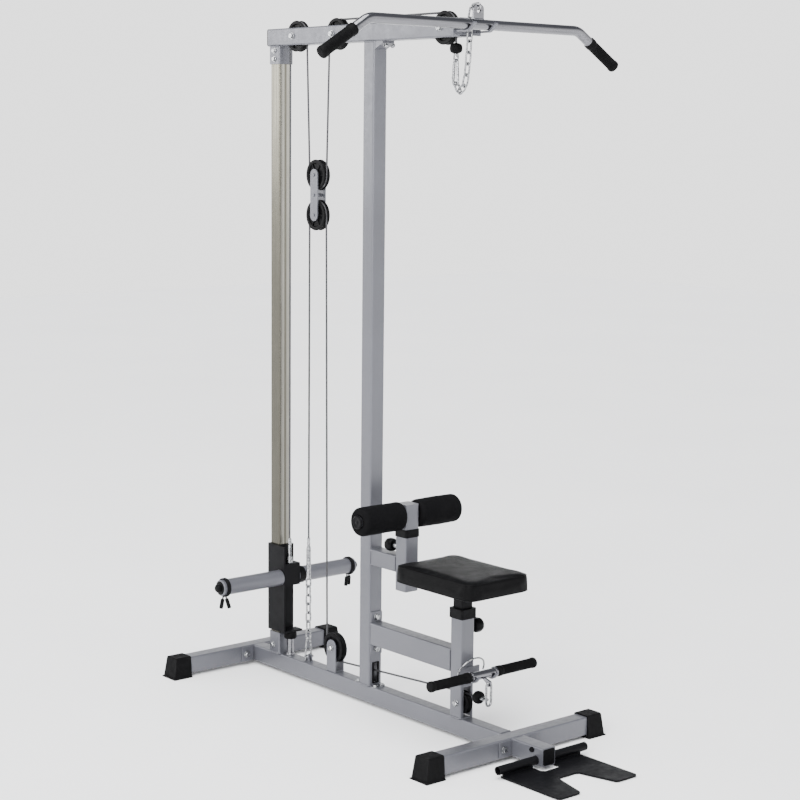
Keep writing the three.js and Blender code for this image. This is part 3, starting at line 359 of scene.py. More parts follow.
class Solid:
    """Gathers closed shells into one mesh. Each shell has its own material number."""

    def __init__(self, *materials):
        self.materials = materials
        self.verts = []
        self.faces = []
        self.numbers = []

    def add(self, verts, faces, number=0):
        start = len(self.verts)
        self.verts += [Vector(v) for v in verts]
        self.faces += [[start + i for i in f] for f in faces]
        self.numbers += [number] * len(faces)
        return self

    def rings(self, rings, number=0, closed=False):
        """Joins rings of equal length into a tube, with flat ends unless it is closed."""
        n = len(rings[0])
        count = len(rings)
        faces = []
        for i in range(count if closed else count - 1):
            j = (i + 1) % count
            faces += [(i * n + k, i * n + (k + 1) % n, j * n + (k + 1) % n, j * n + k) for k in range(n)]
        if not closed:
            faces.append(tuple(range(n))[::-1])
            faces.append(tuple(range((count - 1) * n, count * n)))
        return self.add([v for ring in rings for v in ring], faces, number)

    def lathe(self, profile, place, direction, sides=48, number=0, closed=False):
        """Turns [radius, height] points about an axis through place."""
        direction = Vector(direction).normalized()
        u, v = side_axes(direction)
        spokes = [u * math.cos(a) + v * math.sin(a) for a in turns(sides)]
        rings = [[Vector(place) + direction * h + spoke * max(r, 1e-5) for spoke in spokes]
                 for r, h in profile]
        return self.rings(rings, number, closed)

    def sweep(self, path, radius, sides=16, closed=False, number=0):
        """A round tube along a path. The radius is a number or a function of the point's number."""
        points = [Vector(p) for p in path]
        size = radius if callable(radius) else (lambda i: radius)
        count = len(points)
        normal = None
        rings = []
        for i, p in enumerate(points):
            ahead = points[(i + 1) % count] if closed or i < count - 1 else p
            behind = points[i - 1] if closed or i > 0 else p
            tangent = (ahead - behind).normalized()
            if normal is None:
                normal = side_axes(tangent)[0]
            normal = (normal - tangent * normal.dot(tangent)).normalized()
            other = tangent.cross(normal)
            rings.append([p + (normal * math.cos(a) + other * math.sin(a)) * size(i) for a in turns(sides)])
        return self.rings(rings, number, closed)

    def prism(self, outline, axis, start, end, number=0):
        """Stands a flat outline up along an axis. Outline points are the other two axes, in order."""
        def place(p, t):
            return {"x": (t, *p), "y": (p[0], t, p[1]), "z": (*p, t)}[axis]
        return self.rings([[Vector(place(p, t)) for p in outline] for t in (start, end)], number)

    def box(self, a, b, number=0):
        outline = [(a[0], a[1]), (b[0], a[1]), (b[0], b[1]), (a[0], b[1])]
        return self.prism(outline, "z", a[2], b[2], number)

    def bolt(self, place, direction, flats=0.016, head=0.0065, washer=0.0105, number=0):
        """A hex head on a washer."""
        self.lathe([(0, 0), (washer, 0), (washer, 0.0013), (washer - 0.0005, 0.0018), (0, 0.0018)],
                   place, direction, 32, number)
        r = flats / math.sqrt(3)
        top = 0.0018 + head
        profile = [(0, 0.0015), (r, 0.0015), (r, top - 0.0012), (r * 0.86, top), (r * 0.5, top),
                   (0, top - 0.0004)]
        return self.lathe(profile, place, direction, 6, number)

    def nut(self, place, direction, flats=0.016, number=0):
        """A lock nut on a washer with a domed thread end."""
        self.bolt(place, direction, flats, 0.0075, 0.0105, number)
        r = flats * 0.36
        return self.lathe([(0, 0.006), (r, 0.006), (r, 0.0112), (r - 0.0012, 0.0125), (0, 0.013)],
                          place, direction, 24, number)

    def weld(self, a, b, radius=0.0026):
        """A rippled weld bead from a to b."""
        a, b = Vector(a), Vector(b)
        count = max(6, int((b - a).length / 0.0018))
        path = [a.lerp(b, i / count) for i in range(count + 1)]

        def size(i):
            end = 0.55 if i in (0, count) else 1.0
            return radius * end * (1.0 + 0.13 * math.cos(i * math.tau / 3))
        return self.sweep(path, size, 10)

    def build(self, name, body=None, replaces=(), bevel=0.0, smooth=42):
        mesh = bpy.data.meshes.new(name)
        mesh.from_pydata(self.verts, [], self.faces)
        for material in self.materials:
            mesh.materials.append(material)
        mesh.polygons.foreach_set("material_index", self.numbers)
        bm = bmesh.new()
        bm.from_mesh(mesh)
        bmesh.ops.remove_doubles(bm, verts=bm.verts, dist=2e-5)
        bmesh.ops.recalc_face_normals(bm, faces=bm.faces)
        bm.to_mesh(mesh)
        bm.free()
        return settle(mesh, name, body, replaces, bevel, smooth)


def turns(sides):
    return [i * math.tau / sides for i in range(sides)]


def half_turn(steps):
    return [i * math.pi / steps for i in range(steps + 1)]


def settle(mesh, name, body, replaces, bevel, smooth):
    """Puts a finished mesh in the scene: smooth shading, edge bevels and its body."""
    mesh.shade_smooth()
    mesh.set_sharp_from_angle(angle=math.radians(smooth))
    obj = bpy.data.objects.new(name, mesh)
    bpy.context.scene.collection.objects.link(obj)
    if bevel:
        edge = obj.modifiers.new("edges", "BEVEL")
        edge.width = bevel
        edge.segments = 2
        edge.limit_method = "ANGLE"
        edge.angle_limit = math.radians(smooth + 6)
        edge.harden_normals = False
    weighted = obj.modifiers.new("flats", "WEIGHTED_NORMAL")
    weighted.keep_sharp = True
    if body:
        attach(obj, body)
    if replaces:
        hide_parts(*replaces)
    return obj


def refine(node, bevel=0.0007, mesh=None):
    """A cleaned copy of a CAD node with bevelled edges, in its slot's material."""
    mesh = mesh or frame["nodes"][node].data.copy()
    mesh.name = f"fine_{node}"
    bm = bmesh.new()
    bm.from_mesh(mesh)
    bmesh.ops.remove_doubles(bm, verts=bm.verts, dist=1e-5)
    bmesh.ops.dissolve_limit(bm, angle_limit=math.radians(1), verts=bm.verts, edges=bm.edges)
    bmesh.ops.recalc_face_normals(bm, faces=bm.faces)
    bm.to_mesh(mesh)
    bm.free()
    mesh.materials.clear()
    mesh.materials.append(SLOT_MATERIAL[NODE_SLOT[node]])
    for name in [a.name for a in mesh.attributes if a.name in ("sharp_face", "custom_normal")]:
        mesh.attributes.remove(mesh.attributes[name])
    return settle(mesh, f"fine_{node}", NODE_BODY[node], [node], bevel, 48)


# ---------------------------------------------------------------- camera, light and floor
def add_camera():
    turn, dip, roll = [math.radians(v) for v in (CAMERA_TURN, CAMERA_DIP, CAMERA_ROLL)]
    ahead = Vector((-math.sin(turn) * math.cos(dip), math.cos(turn) * math.cos(dip), -math.sin(dip)))
    level = Vector((math.cos(turn), math.sin(turn), 0))
    rise = level.cross(ahead)
    right = math.cos(roll) * level + math.sin(roll) * rise
    up = -math.sin(roll) * level + math.cos(roll) * rise
    data = bpy.data.cameras.new("camera")
    data.lens = CAMERA_LENS
    data.sensor_width = 36
    data.shift_x, data.shift_y = CAMERA_SHIFT
    camera = bpy.data.objects.new("camera", data)
    rotation = Matrix((right, up, -ahead)).transposed().to_4x4()
    camera.matrix_world = Matrix.Translation(CAMERA_PLACE) @ rotation
    bpy.context.scene.collection.objects.link(camera)
    bpy.context.scene.camera = camera


def add_light(name, place, target, size, energy):
    data = bpy.data.lights.new(name, "AREA")
    data.shape = "RECTANGLE"
    data.size, data.size_y = size
    data.energy = energy
    light = bpy.data.objects.new(name, data)
    light.location = place
    light.rotation_euler = (Vector(target) - Vector(place)).to_track_quat("-Z", "Y").to_euler()
    bpy.context.scene.collection.objects.link(light)


def add_world():
    """A sky that is white round the horizon and greyer overhead."""
    world = bpy.data.worlds.new("studio")
    world.use_nodes = True
    tree = world.node_tree
    background = tree.nodes["Background"]
    place = tree.nodes.new("ShaderNodeTexCoord").outputs["Generated"]
    split = tree.nodes.new("ShaderNodeSeparateXYZ")
    tree.links.new(place, split.inputs[0])
    ramp = tree.nodes.new("ShaderNodeValToRGB")
    tree.links.new(split.outputs["Z"], ramp.inputs[0])
    edge, sky = ramp.color_ramp.elements
    edge.position, sky.position = 0.10, 0.50
    edge.color, sky.color = (1.0, 1.0, 1.0, 1), (0.16, 0.165, 0.18, 1)
    tree.links.new(ramp.outputs[0], background.inputs["Color"])
    background.inputs["Strength"].default_value = 2.2
    bpy.context.scene.world = world


def add_studio():
    add_world()
    add_light("key", (-4.4, -2.6, 3.0), (0, 0, 0.9), (1.8, 2.2), 260)
    add_light("front", (0.6, -5.2, 2.6), (0, 0, 0.9), (1.6, 1.8), 25)
    add_light("rim", (-3.0, 4.2, 2.8), (0, 0.2, 1.0), (1.4, 2.6), 80)
    data = bpy.data.lights.new("ceiling", "SUN")
    data.energy = 6.2
    data.angle = math.radians(65)
    ceiling = bpy.data.objects.new("ceiling", data)
    ceiling.rotation_euler = (math.radians(8), math.radians(-16), 0)
    bpy.context.scene.collection.objects.link(ceiling)
    floor = Solid(floor_paint()).box((-14, -14, -0.02), (14, 14, 0))
    mesh = bpy.data.meshes.new("floor")
    mesh.from_pydata(floor.verts, [], floor.faces)
    mesh.materials.append(floor.materials[0])
    plane = bpy.data.objects.new("floor", mesh)
    bpy.context.scene.collection.objects.link(plane)


# ---------------------------------------------------------------- frame
def bored(node, cutter):
    """Cuts a Solid out of a CAD node's copy and returns the mesh."""
    mesh = frame["nodes"][node].data.copy()
    body = bpy.data.objects.new("body", mesh)
    data = bpy.data.meshes.new("cutter")
    data.from_pydata(cutter.verts, [], cutter.faces)
    tool = bpy.data.objects.new("cutter", data)
    for obj in (body, tool):
        bpy.context.scene.collection.objects.link(obj)
    cut = body.modifiers.new("cut", "BOOLEAN")
    cut.operation = "DIFFERENCE"
    cut.solver = "EXACT"
    cut.object = tool
    made = bpy.data.meshes.new_from_object(body.evaluated_get(bpy.context.evaluated_depsgraph_get()))
    for obj in (body, tool):
        bpy.data.objects.remove(obj)
    return made


def add_frame():
    plain = [
        "front_foot", "rear_foot", "base_beam", "base_stub", "upright", "boom", "lat_bar_hooks", "guide_post",
        "guide_top_socket", "guide_bottom_socket", "seat_beam", "seat_post", "row_bar_hooks", "thigh_bracket",
        "low_pulley_bracket", "floating_pulley_bracket", "weight_carriage", "seat_stem", "thigh_stem",
        "seat_collar", "thigh_collar",
    ]
    for node in plain:
        refine(node)
    for node in ("front_foot_cap_left", "front_foot_cap_right", "rear_foot_cap_left", "rear_foot_cap_right"):
        refine(node, 0.0022)
    hinge = Vector((0, *foot_hinge()))
    bores = Solid()
    for side in (-1, 1):
        end = hinge + X * (side * high("foot_plate").x)
        bores.lathe([(0, -0.045), (0.0102, -0.045), (0.0102, 0.004), (0, 0.004)], end, X * side, 32)
    refine("foot_plate", 0.0006, bored("foot_plate", bores))


def foot_hinge():
    """The hinge line of the foot plate, as (y, z), from its joint."""
    joint = next(j for j in frame["joints"] if j["name"] == "foot_plate_tilt")
    return joint["pos_m"][1], joint["pos_m"][2]


def ring_of_welds(solid, box_low, box_high, z):
    """Welds round a square tube where it meets a flat face at height z."""
    corners = [(box_low.x, box_low.y), (box_high.x, box_low.y),
               (box_high.x, box_high.y), (box_low.x, box_high.y)]
    for a, b in zip(corners, corners[1:] + corners[:1]):
        inset = (Vector(b) - Vector(a)).normalized() * 0.004
        solid.weld((a[0] + inset.x, a[1] + inset.y, z), (b[0] - inset.x, b[1] - inset.y, z))


def end_welds(solid, node, y):
    """Welds on the four sides of a tube that runs along Y and ends against a face at y."""
    a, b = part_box(node)
    inset = 0.005
    for x in (a.x, b.x):
        solid.weld((x, y, a.z + inset), (x, y, b.z - inset))
    for z in (a.z, b.z):
        solid.weld((a.x + inset, y, z), (b.x - inset, y, z))


def post_front():
    """The upright's front face. The tube is square, and the node's box also holds the gusset."""
    return high("upright").y - span("upright").x


def add_welds():
    solid = Solid(PAINT)
    base_top = high("base_beam").z + 0.001
    boom_low = low("boom").z - 0.001
    half = span("upright").x / 2
    front = post_front()
    post = Vector((-half, front, 0)), Vector((half, high("upright").y, 0))
    ring_of_welds(solid, *post, base_top)
    ring_of_welds(solid, *post, boom_low)
    for node in ("seat_post", "guide_bottom_socket"):
        ring_of_welds(solid, *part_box(node), base_top)
    ring_of_welds(solid, *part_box("guide_top_socket"), boom_low)
    end_welds(solid, "seat_beam", high("seat_beam").y - 0.001)
    end_welds(solid, "seat_beam", low("seat_beam").y + 0.001)
    arm_low, arm_high = [low("thigh_bracket").z + rise for rise in (0.054, 0.104)]
    for x in (low("thigh_bracket").x, high("thigh_bracket").x):
        for y in (front - 0.001, centre("thigh_stem").y + 0.026):
            solid.weld((x, y, arm_low + 0.005), (x, y, arm_high - 0.005))
    for z in (arm_low, arm_high):
        solid.weld((-0.02, front - 0.001, z), (0.02, front - 0.001, z))
    end_welds(solid, "base_beam", low("base_beam").y + 0.001)
    end_welds(solid, "base_stub", high("base_stub").y - 0.001)
    solid.build("weld_beads", "frame")


def rounded_rectangle(half_x, half_y, radius, steps):
    """Points round a rectangle about zero, with so many steps round each corner."""
    outline = []
    for sx, sy, quarter in ((1, 1, 0), (-1, 1, 1), (-1, -1, 2), (1, -1, 3)):
        for i in range(steps):
            angle = (quarter + i / (steps - 1)) * math.pi / 2
            outline.append(Vector((sx * (half_x - radius) + radius * math.cos(angle),
                                   sy * (half_y - radius) + radius * math.sin(angle))))
    return outline


def rounded_plate(solid, middle, width, height, radius=0.004):
    """A plate with rounded corners that faces along Y."""
    corners = rounded_rectangle(width / 2, height / 2, radius, 5)
    outline = [(middle[0] + p.x, middle[2] + p.y) for p in corners]
    start = middle[1] - PLATE / 2
    return solid.prism(outline, "y", start, start + PLATE)


def flange(plates, bolts, place, width, height, bolt_x):
    """A plate in front of a face, at a place on it, and the bolt that holds it."""
    x, y, z = place
    rounded_plate(plates, (x, y - 0.0022, z), width, height)
    bolts.bolt((bolt_x, y - 0.0042, z), -Y)


def through_bolt(bolts, node, y, z, inset=0.0, flats=0.016, head=0.0065, washer=0.0105):
    """A bolt across a CAD node along X: the head on its left face and a lock nut on its right."""
    bolts.bolt((low(node).x + inset, y, z), -X, flats, head, washer)
    bolts.nut((high(node).x - inset, y, z), X, flats)


def add_flanges(bolts):
    """Bolted flanges where the base meets the feet and where the seat beam meets the upright."""
    plates = Solid(PAINT)
    sizes = (("rear_foot", 0.046, 0.050, 0.054), ("front_foot", 0.048, 0.046, 0.056))
    for foot, width, height, bolt_x in sizes:
        for side in (-1, 1):
            place = (side * 0.050, low(foot).y, centre(foot).z)
            flange(plates, bolts, place, width, height, side * bolt_x)
    for z in (high("seat_beam").z + 0.016, low("seat_beam").z - 0.016):
        flange(plates, bolts, (0, post_front(), z), 0.044, 0.034, 0)
    plates.build("flange_plates", "frame", bevel=0.0006)


def add_bolts():
    """Every visible bolt and nut of the frame."""
    bolts = Solid(ZINC)
    add_flanges(bolts)
    hooks = Vector((0, low("boom").y - 0.006, centre("lat_bar_hooks").z + 0.012))
    for side in (-1, 1):
        gusset = (side * 0.013, post_front() - 0.038, low("boom").z - 0.012)
        bolts.bolt(gusset, (0, -0.62, -0.78), 0.012, 0.005, 0.008)
        for y in (post_front() - 0.016, high("upright").y + 0.016):
            bolts.bolt((side * 0.013, y, high("base_beam").z), Z, 0.013, 0.005)
        bolts.bolt(hooks + X * (side * 0.022), -Y, 0.012, 0.005, 0.009)
    socket = centre("guide_top_socket")
    for z in (low("guide_top_socket").z + 0.016, high("guide_top_socket").z - 0.014):
        through_bolt(bolts, "guide_top_socket", socket.y, z, 0.0, 0.013, 0.005, 0.009)
    socket = centre("guide_bottom_socket")
    through_bolt(bolts, "guide_bottom_socket", socket.y + 0.006, low("guide_bottom_socket").z + 0.026)
    for pulley in PULLEYS:
        if pulley in AXLE_HOLDER:
            holder, inset = AXLE_HOLDER[pulley]
            through_bolt(bolts, holder, centre(pulley).y, centre(pulley).z, inset)
    stub = low("base_stub")
    dark = Solid(BLACK).bolt((stub.x, stub.y + 0.041, stub.z + 0.043), -X, 0.012, 0.005, 0.008)
    dark.build("stub_bolt", "frame")
    bolts.build("frame_bolts", "frame", bevel=0.0002)


def add_end_plugs():
    """Black plugs in the ends of the boom and the stub, and a liner round each mouth of the cable slot."""
    solid = Solid(NYLON)
    for node, y, slim in (("boom", high("boom").y, 0.0004), ("base_stub", low("base_stub").y, -0.007)):
        middle, size = centre(node), span(node)
        rounded_plate(solid, (middle.x, y, middle.z), size.x + slim, size.z + slim, 0.006)
    for y in (post_front(), high("upright").y):
        for x in (-0.0105, 0.0105):
            solid.box((x - 0.0022, y - 0.003, 0.0725), (x + 0.0022, y + 0.003, 0.1395))
        for z in (0.0745, 0.1378):
            solid.box((-0.0125, y - 0.003, z - 0.002), (0.0125, y + 0.003, z + 0.002))
    solid.build("end_plugs", "frame", bevel=0.0008)


def add_hook_sleeves():
    """Rubber strips in the hooks of the boom, where the lat bar lies."""
    solid = Solid(RUBBER)
    y = centre("lat_grip_left").y
    z = low("lat_bar_hooks").z + 0.0345
    around = [math.radians(degrees) for degrees in range(-58, 41, 7)]
    for x in (-0.040, 0.040):
        path = [(x, y + 0.0185 * math.sin(t), z - 0.0185 * math.cos(t)) for t in around]
        ribbon(solid, path, 0.0142, 0.0042)
    solid.build("hook_sleeves", "frame")


def ribbon(solid, path, width, thickness):
    """A flat strip along a path in the plane of Y and Z, with its width along X."""
    points = [Vector(p) for p in path]
    last = len(points) - 1
    rings = []
    for i, p in enumerate(points):
        tangent = (points[min(i + 1, last)] - points[max(i - 1, 0)]).normalized()
        across = tangent.cross(X).normalized() * thickness / 2
        side = X * width / 2
        lower = [(-1, -0.6), (-0.9, -1), (0.9, -1), (1, -0.6)]
        corners = lower + [(-u, -v) for u, v in lower]
        rings.append([p + side * u + across * v for u, v in corners])
    return solid.rings(rings)


# ---------------------------------------------------------------- pulleys and cables
PULLEYS = (
    "top_rear_pulley", "top_middle_pulley", "top_front_pulley", "floating_upper_pulley",
    "floating_lower_pulley", "low_rear_pulley", "low_front_pulley",
)
# The node whose sides an axle bolt clamps, and how far its head and nut stand inside that node's box.
AXLE_HOLDER = {
    "top_rear_pulley": ("boom", 0.0), "top_middle_pulley": ("boom", 0.0), "top_front_pulley": ("boom", 0.0),
    "low_rear_pulley": ("low_pulley_bracket", 0.003), "low_front_pulley": ("seat_post", 0.0),
}


def add_pulley(node):
    """A nylon wheel with a grooved rim, a dished web with ribs, a hub and a steel bearing."""
    c = centre(node)
    size = span(node)
    radius, half = size.z / 2, size.x / 2
    groove = wheel_circle(node)[2] - CABLE_RADIUS - 0.0008
    bore, hub, rim = 0.0055, 0.013, radius - 0.011
    dish = half - 0.0045
    one_side = [(bore, -half + 0.0012), (bore + 0.001, -half), (hub - 0.001, -half), (hub, -half + 0.001),
                (hub + 0.0015, -dish), (rim - 0.0015, -dish), (rim, -half + 0.001), (rim + 0.001, -half),
                (radius - 0.0022, -half), (radius - 0.0006, -half + 0.0006), (radius, -half + 0.002),
                (radius - 0.0004, -half + 0.0032), (groove + 0.0014, -0.0040), (groove + 0.0003, -0.0026),
                (groove, -0.0012)]
    profile = one_side + [(r, -h) for r, h in reversed(one_side)]
    wheel = Solid(NYLON, ZINC)
    wheel.lathe(profile, c, X, 96, 0, closed=True)
    for side in (-1, 1):
        for k in range(6):
            angle = k * math.tau / 6
            direction = Vector((0, math.cos(angle), math.sin(angle)))
            across = direction.cross(X) * 0.0016
            a = c + direction * (hub - 0.001)
            b = c + direction * (rim + 0.001)
            inner, outer = side * (dish - 0.001), side * (half - 0.0012)
            ring = [[p - across, p + across] for p in (a, b)]
            verts = [v + X * t for t in (inner, outer) for pair in ring for v in pair]
            faces = [(0, 1, 3, 2), (4, 6, 7, 5), (0, 4, 5, 1), (2, 3, 7, 6), (0, 2, 6, 4), (1, 5, 7, 3)]
            wheel.add(verts, faces)
        bearing = [(bore - 0.0002, 0), (bore + 0.0045, 0), (bore + 0.0045, side * 0.0006),
                   (bore, side * 0.0006)]
        wheel.lathe(bearing, c + X * side * half, X, 40, 1, closed=True)
    wheel.build(f"wheel_{node}", NODE_BODY[node], [node], smooth=50)


def wheel_circle(node):
    """Centre (y, z) and the pitch radius that a cable follows on a pulley."""
    c = centre(node)
    radius = span(node).z / 2
    return c.y, c.z, radius - (GROOVE if radius > 0.04 else SMALL_GROOVE)


def tangent_angles(a, turn_a, b, turn_b):
    """The angles on circles a and b where a cable leaves a and meets b."""
    dy, dz = b[0] - a[0], b[1] - a[1]
    same = turn_a * turn_b
    leave = math.atan2(dz, dy) - turn_a * math.acos((a[2] - same * b[2]) / math.hypot(dy, dz))
    return leave, leave if same > 0 else leave + math.pi


def wrap(circle, start, end, turn):
    """Points of a cable on a wheel; turn is 1 from +Y towards +Z."""
    sweep = ((end - start) * turn) % math.tau
    steps = max(1, math.ceil(sweep / math.radians(5)))
    angles = [start + turn * sweep * i / steps for i in range(steps + 1)]
    y, z, radius = circle
    return [Vector((0, y + radius * math.cos(a), z + radius * math.sin(a))) for a in angles]


def straight(a, b, step=0.03):
    """Evenly spaced points from a to b, without b."""
    count = max(1, round((Vector(b) - Vector(a)).length / step))
    return [Vector(a).lerp(Vector(b), i / count) for i in range(count)]


def add_cable(name, path, nodes=(), body="frame"):
    solid = Solid(CABLE).sweep(path, CABLE_RADIUS, 14)
    piece = solid.build(name, body, smooth=60)
    if nodes:
        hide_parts(*nodes)
    return piece


def add_cables():
    rear, middle, front = [wheel_circle(n) for n in PULLEYS[:3]]
    upper, lower, low_rear, low_front = [wheel_circle(n) for n in PULLEYS[3:]]
    leave_rear, meet_upper = tangent_angles(rear, 1, upper, -1)
    leave_upper, meet_middle = tangent_angles(upper, -1, middle, 1)
    leave_middle, meet_front = tangent_angles(middle, 1, front, 1)
    leave_lower, meet_low = tangent_angles(lower, 1, low_rear, -1)
    leave_low, meet_last = tangent_angles(low_rear, -1, low_front, 1)

    weight_end = Vector((0, rear[0] + rear[2], high("weight_cable_end").z - 0.004))
    over_rear = wrap(rear, 0, leave_rear, 1)
    run = add_cable("weight_cable_run", straight(weight_end, over_rear[0]) + [over_rear[0]])
    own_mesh(run)
    add_cable("cable_over_rear_wheel", over_rear, ["high_cable_weight_side"])

    under_float = wrap(upper, meet_upper, leave_upper, -1)
    onto_middle = wrap(middle, meet_middle, meet_middle, 1)[-1]
    path = straight(over_rear[-1], under_float[0]) + under_float[:-1] + straight(under_float[-1], onto_middle)
    loop = add_cable("floating_loop_high", path + [onto_middle], ["high_cable_loop"], None)
    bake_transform(loop, "frame", "float_block", start=tuple(onto_middle), end=(0, onto_middle.y, under_float[0].z))

    over_middle = wrap(middle, meet_middle, leave_middle, 1)
    over_front = wrap(front, meet_front, math.pi, 1)
    path = over_middle[:-1] + straight(over_middle[-1], over_front[0]) + over_front
    add_cable("boom_cable_run", path, ["high_cable_front_run"])

    anchor = Vector((0, lower[0] + lower[2], high("anchor_chain").z - 0.003))
    over_lower = wrap(lower, 0, leave_lower, 1)
    under_rear = wrap(low_rear, meet_low, leave_low, -1)
    path = straight(anchor, over_lower[0]) + over_lower[:-1] + straight(over_lower[-1], under_rear[0])
    loop = add_cable("floating_loop_low", path + [under_rear[0]], ["low_cable_loop"], None)
    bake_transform(loop, "frame", "float_block", start=tuple(anchor), end=(0, anchor.y, over_lower[0].z))

    over_last = wrap(low_front, meet_last, math.pi / 2, 1)
    path = under_rear[:-1] + straight(under_rear[-1], over_last[0]) + over_last
    add_cable("floor_cable_run", path, ["low_cable_floor_run"])
    return over_front[-1], over_last[-1]


# ---------------------------------------------------------------- chains, rings and ends
def stadium(length, width):
    """The middle line of a link: two straight sides and two round ends, in the plane of X and Z."""
    bend = width / 2
    half = (length - width) / 2
    top = [(bend * math.cos(a), half + bend * math.sin(a)) for a in half_turn(7)]
    return top + [(-u, -v) for u, v in top]


def add_link(solid, a, b, width, wire, quarter=False, extra=None, number=0):
    """A closed link whose inner ends reach the joints a and b."""
    a, b = Vector(a), Vector(b)
    along = (b - a).normalized()
    length = (b - a).length + (wire if extra is None else extra)
    side = along.cross(X).normalized() if quarter else X
    middle = (a + b) / 2
    path = [middle + side * u + along * v for u, v in stadium(length, width - wire)]
    return solid.sweep(path, wire / 2, 10, True, number)


def smooth_path(points, count):
    """Evenly spaced points on a Catmull-Rom curve through the given points."""
    points = [Vector(p) for p in points]
    padded = [points[0] * 2 - points[1], *points, points[-1] * 2 - points[-2]]
    fine = []
    for a, b, c, d in zip(padded, padded[1:], padded[2:], padded[3:]):
        for i in range(24):
            t = i / 24
            fine.append(0.5 * (2 * b + (c - a) * t + (2 * a - 5 * b + 4 * c - d) * t ** 2
                               + (3 * b - a - 3 * c + d) * t ** 3))
    fine.append(points[-1])
    lengths = [0.0]
    for a, b in zip(fine, fine[1:]):
        lengths.append(lengths[-1] + (b - a).length)
    spaced = []
    j = 0
    for i in range(count + 1):
        want = lengths[-1] * i / count
        while j < len(lengths) - 2 and lengths[j + 1] < want:
            j += 1
        t = (want - lengths[j]) / max(lengths[j + 1] - lengths[j], 1e-9)
        spaced.append(fine[j].lerp(fine[j + 1], t))
    return spaced


def shackle_line(y, base, crown):
    """The middle line of a wire shackle: two spread legs and a round crown."""
    leg = [(-0.0125, base + 0.004), (-0.0115, base + 0.022), (-0.0078, crown - 0.012)]
    arc = [(-0.0062 * math.cos(t), crown - 0.004 + 0.0062 * math.sin(t)) for t in half_turn(10)]
    return [Vector((x, y, z)) for x, z in leg + arc + [(-x, z) for x, z in reversed(leg)]]


def add_anchor_chain():
    """The low cable's fixed end: a crimped sleeve, seven links, a wire shackle and its bolted lug."""
    a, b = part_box("anchor_chain")
    y = centre("anchor_chain").y
    solid = Solid(ZINC, PAINT)
    foot = Vector((0, y, a.z + 0.016))
    sleeve_low = b.z - 0.135
    joints = 9
    rise = (sleeve_low + 0.004 - foot.z) / joints
    for i in range(2, joints):
        start = foot + Z * (rise * i)
        add_link(solid, start, start + Z * rise, 0.022, 0.0056, i % 2)
    solid.sweep(shackle_line(y, a.z, foot.z + rise * 2), 0.0031, 14)
    sleeve = [(0, 0), (0.0062, 0), (0.0075, 0.0015), (0.0075, 0.100), (0.0068, 0.103), (0.0062, 0.106),
              (0.0048, 0.109), (0.0048, 0.113), (0.0054, 0.115), (0.0054, 0.119), (0.0048, 0.121),
              (0.0048, 0.126), (0.0054, 0.128), (0.0054, 0.132), (0.0046, 0.135), (0, 0.135)]
    solid.lathe(sleeve, (0, y, sleeve_low), Z, 36)
    round_top = [(y + 0.011 * math.cos(t), a.z + 0.014 + 0.008 * math.sin(t)) for t in half_turn(12)]
    lug = [(y + 0.0148, a.z), *round_top, (y - 0.0148, a.z)]
    for x in (-0.0075, 0.0045):
        solid.prism(lug, "x", x, x + 0.003, 1)
    solid.build("anchor_chain_fine", "frame", ["anchor_chain"], smooth=50)
    bolt = Solid(ZINC).bolt((-0.0075, y, a.z + 0.014), -X, 0.010, 0.004, 0.007)
    bolt.nut((0.0075, y, a.z + 0.014), X, 0.010)
    bolt.build("anchor_bolt", "frame")


def ball_profile(radius, length):
    """A rubber stop with rounded ends and a moulded band round its middle."""
    half = length / 2
    angles = [math.radians(degrees) for degrees in range(14, 91, 8)]
    ends = [(radius * math.sin(a), half - radius * 0.55 * (1 - math.cos(a))) for a in angles]
    upper = [(0, half), (0.004, half)] + [(r, h) for r, h in ends if h > 0.0045]
    upper += [(radius, 0.0042), (radius + 0.0006, 0.003)]
    return upper + [(r, -h) for r, h in reversed(upper)]


def blended_stub(name, wheel_point, stop_point, body):
    """The free end of a cable. It grows as the handle is pulled away from the wheel."""
    path = straight(wheel_point, stop_point, 0.003) + [Vector(stop_point)]
    piece = add_cable(name, path, body=None)
    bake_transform(piece, "frame", body, start=tuple(wheel_point), end=tuple(stop_point))


def add_high_end(wheel_point):
    """The lat pulldown's cable end: a ball stop, a swaged eye, a spring hook and the chain on it."""
    bottom = low("high_cable_end").z
    y = wheel_point.y
    stop_low = bottom + 0.0914
    blended_stub("high_cable_stub", wheel_point, Vector((0, y, stop_low + STOP)), "lat_handle")
    solid = Solid(RUBBER, ZINC)
    solid.lathe(ball_profile(0.0175, STOP), (0, y, stop_low + STOP / 2), Z, 56)
    add_link(solid, (0, y, stop_low + 0.004), (0, y, stop_low - 0.022), 0.020, 0.0052, extra=0.0, number=1)
    nose = [(0, 0), (0.0062, 0), (0.0062, 0.008), (0.0050, 0.010), (0, 0.010)]
    solid.lathe(nose, (0, y, stop_low - 0.009), Z, 28, 1)
    add_carabiner(solid, Vector((0, y, stop_low - 0.0134)), bottom)
    solid.build("high_cable_clip", "lat_handle", ["high_cable_end"], smooth=50)
    add_lat_chain(y, bottom + 0.010)


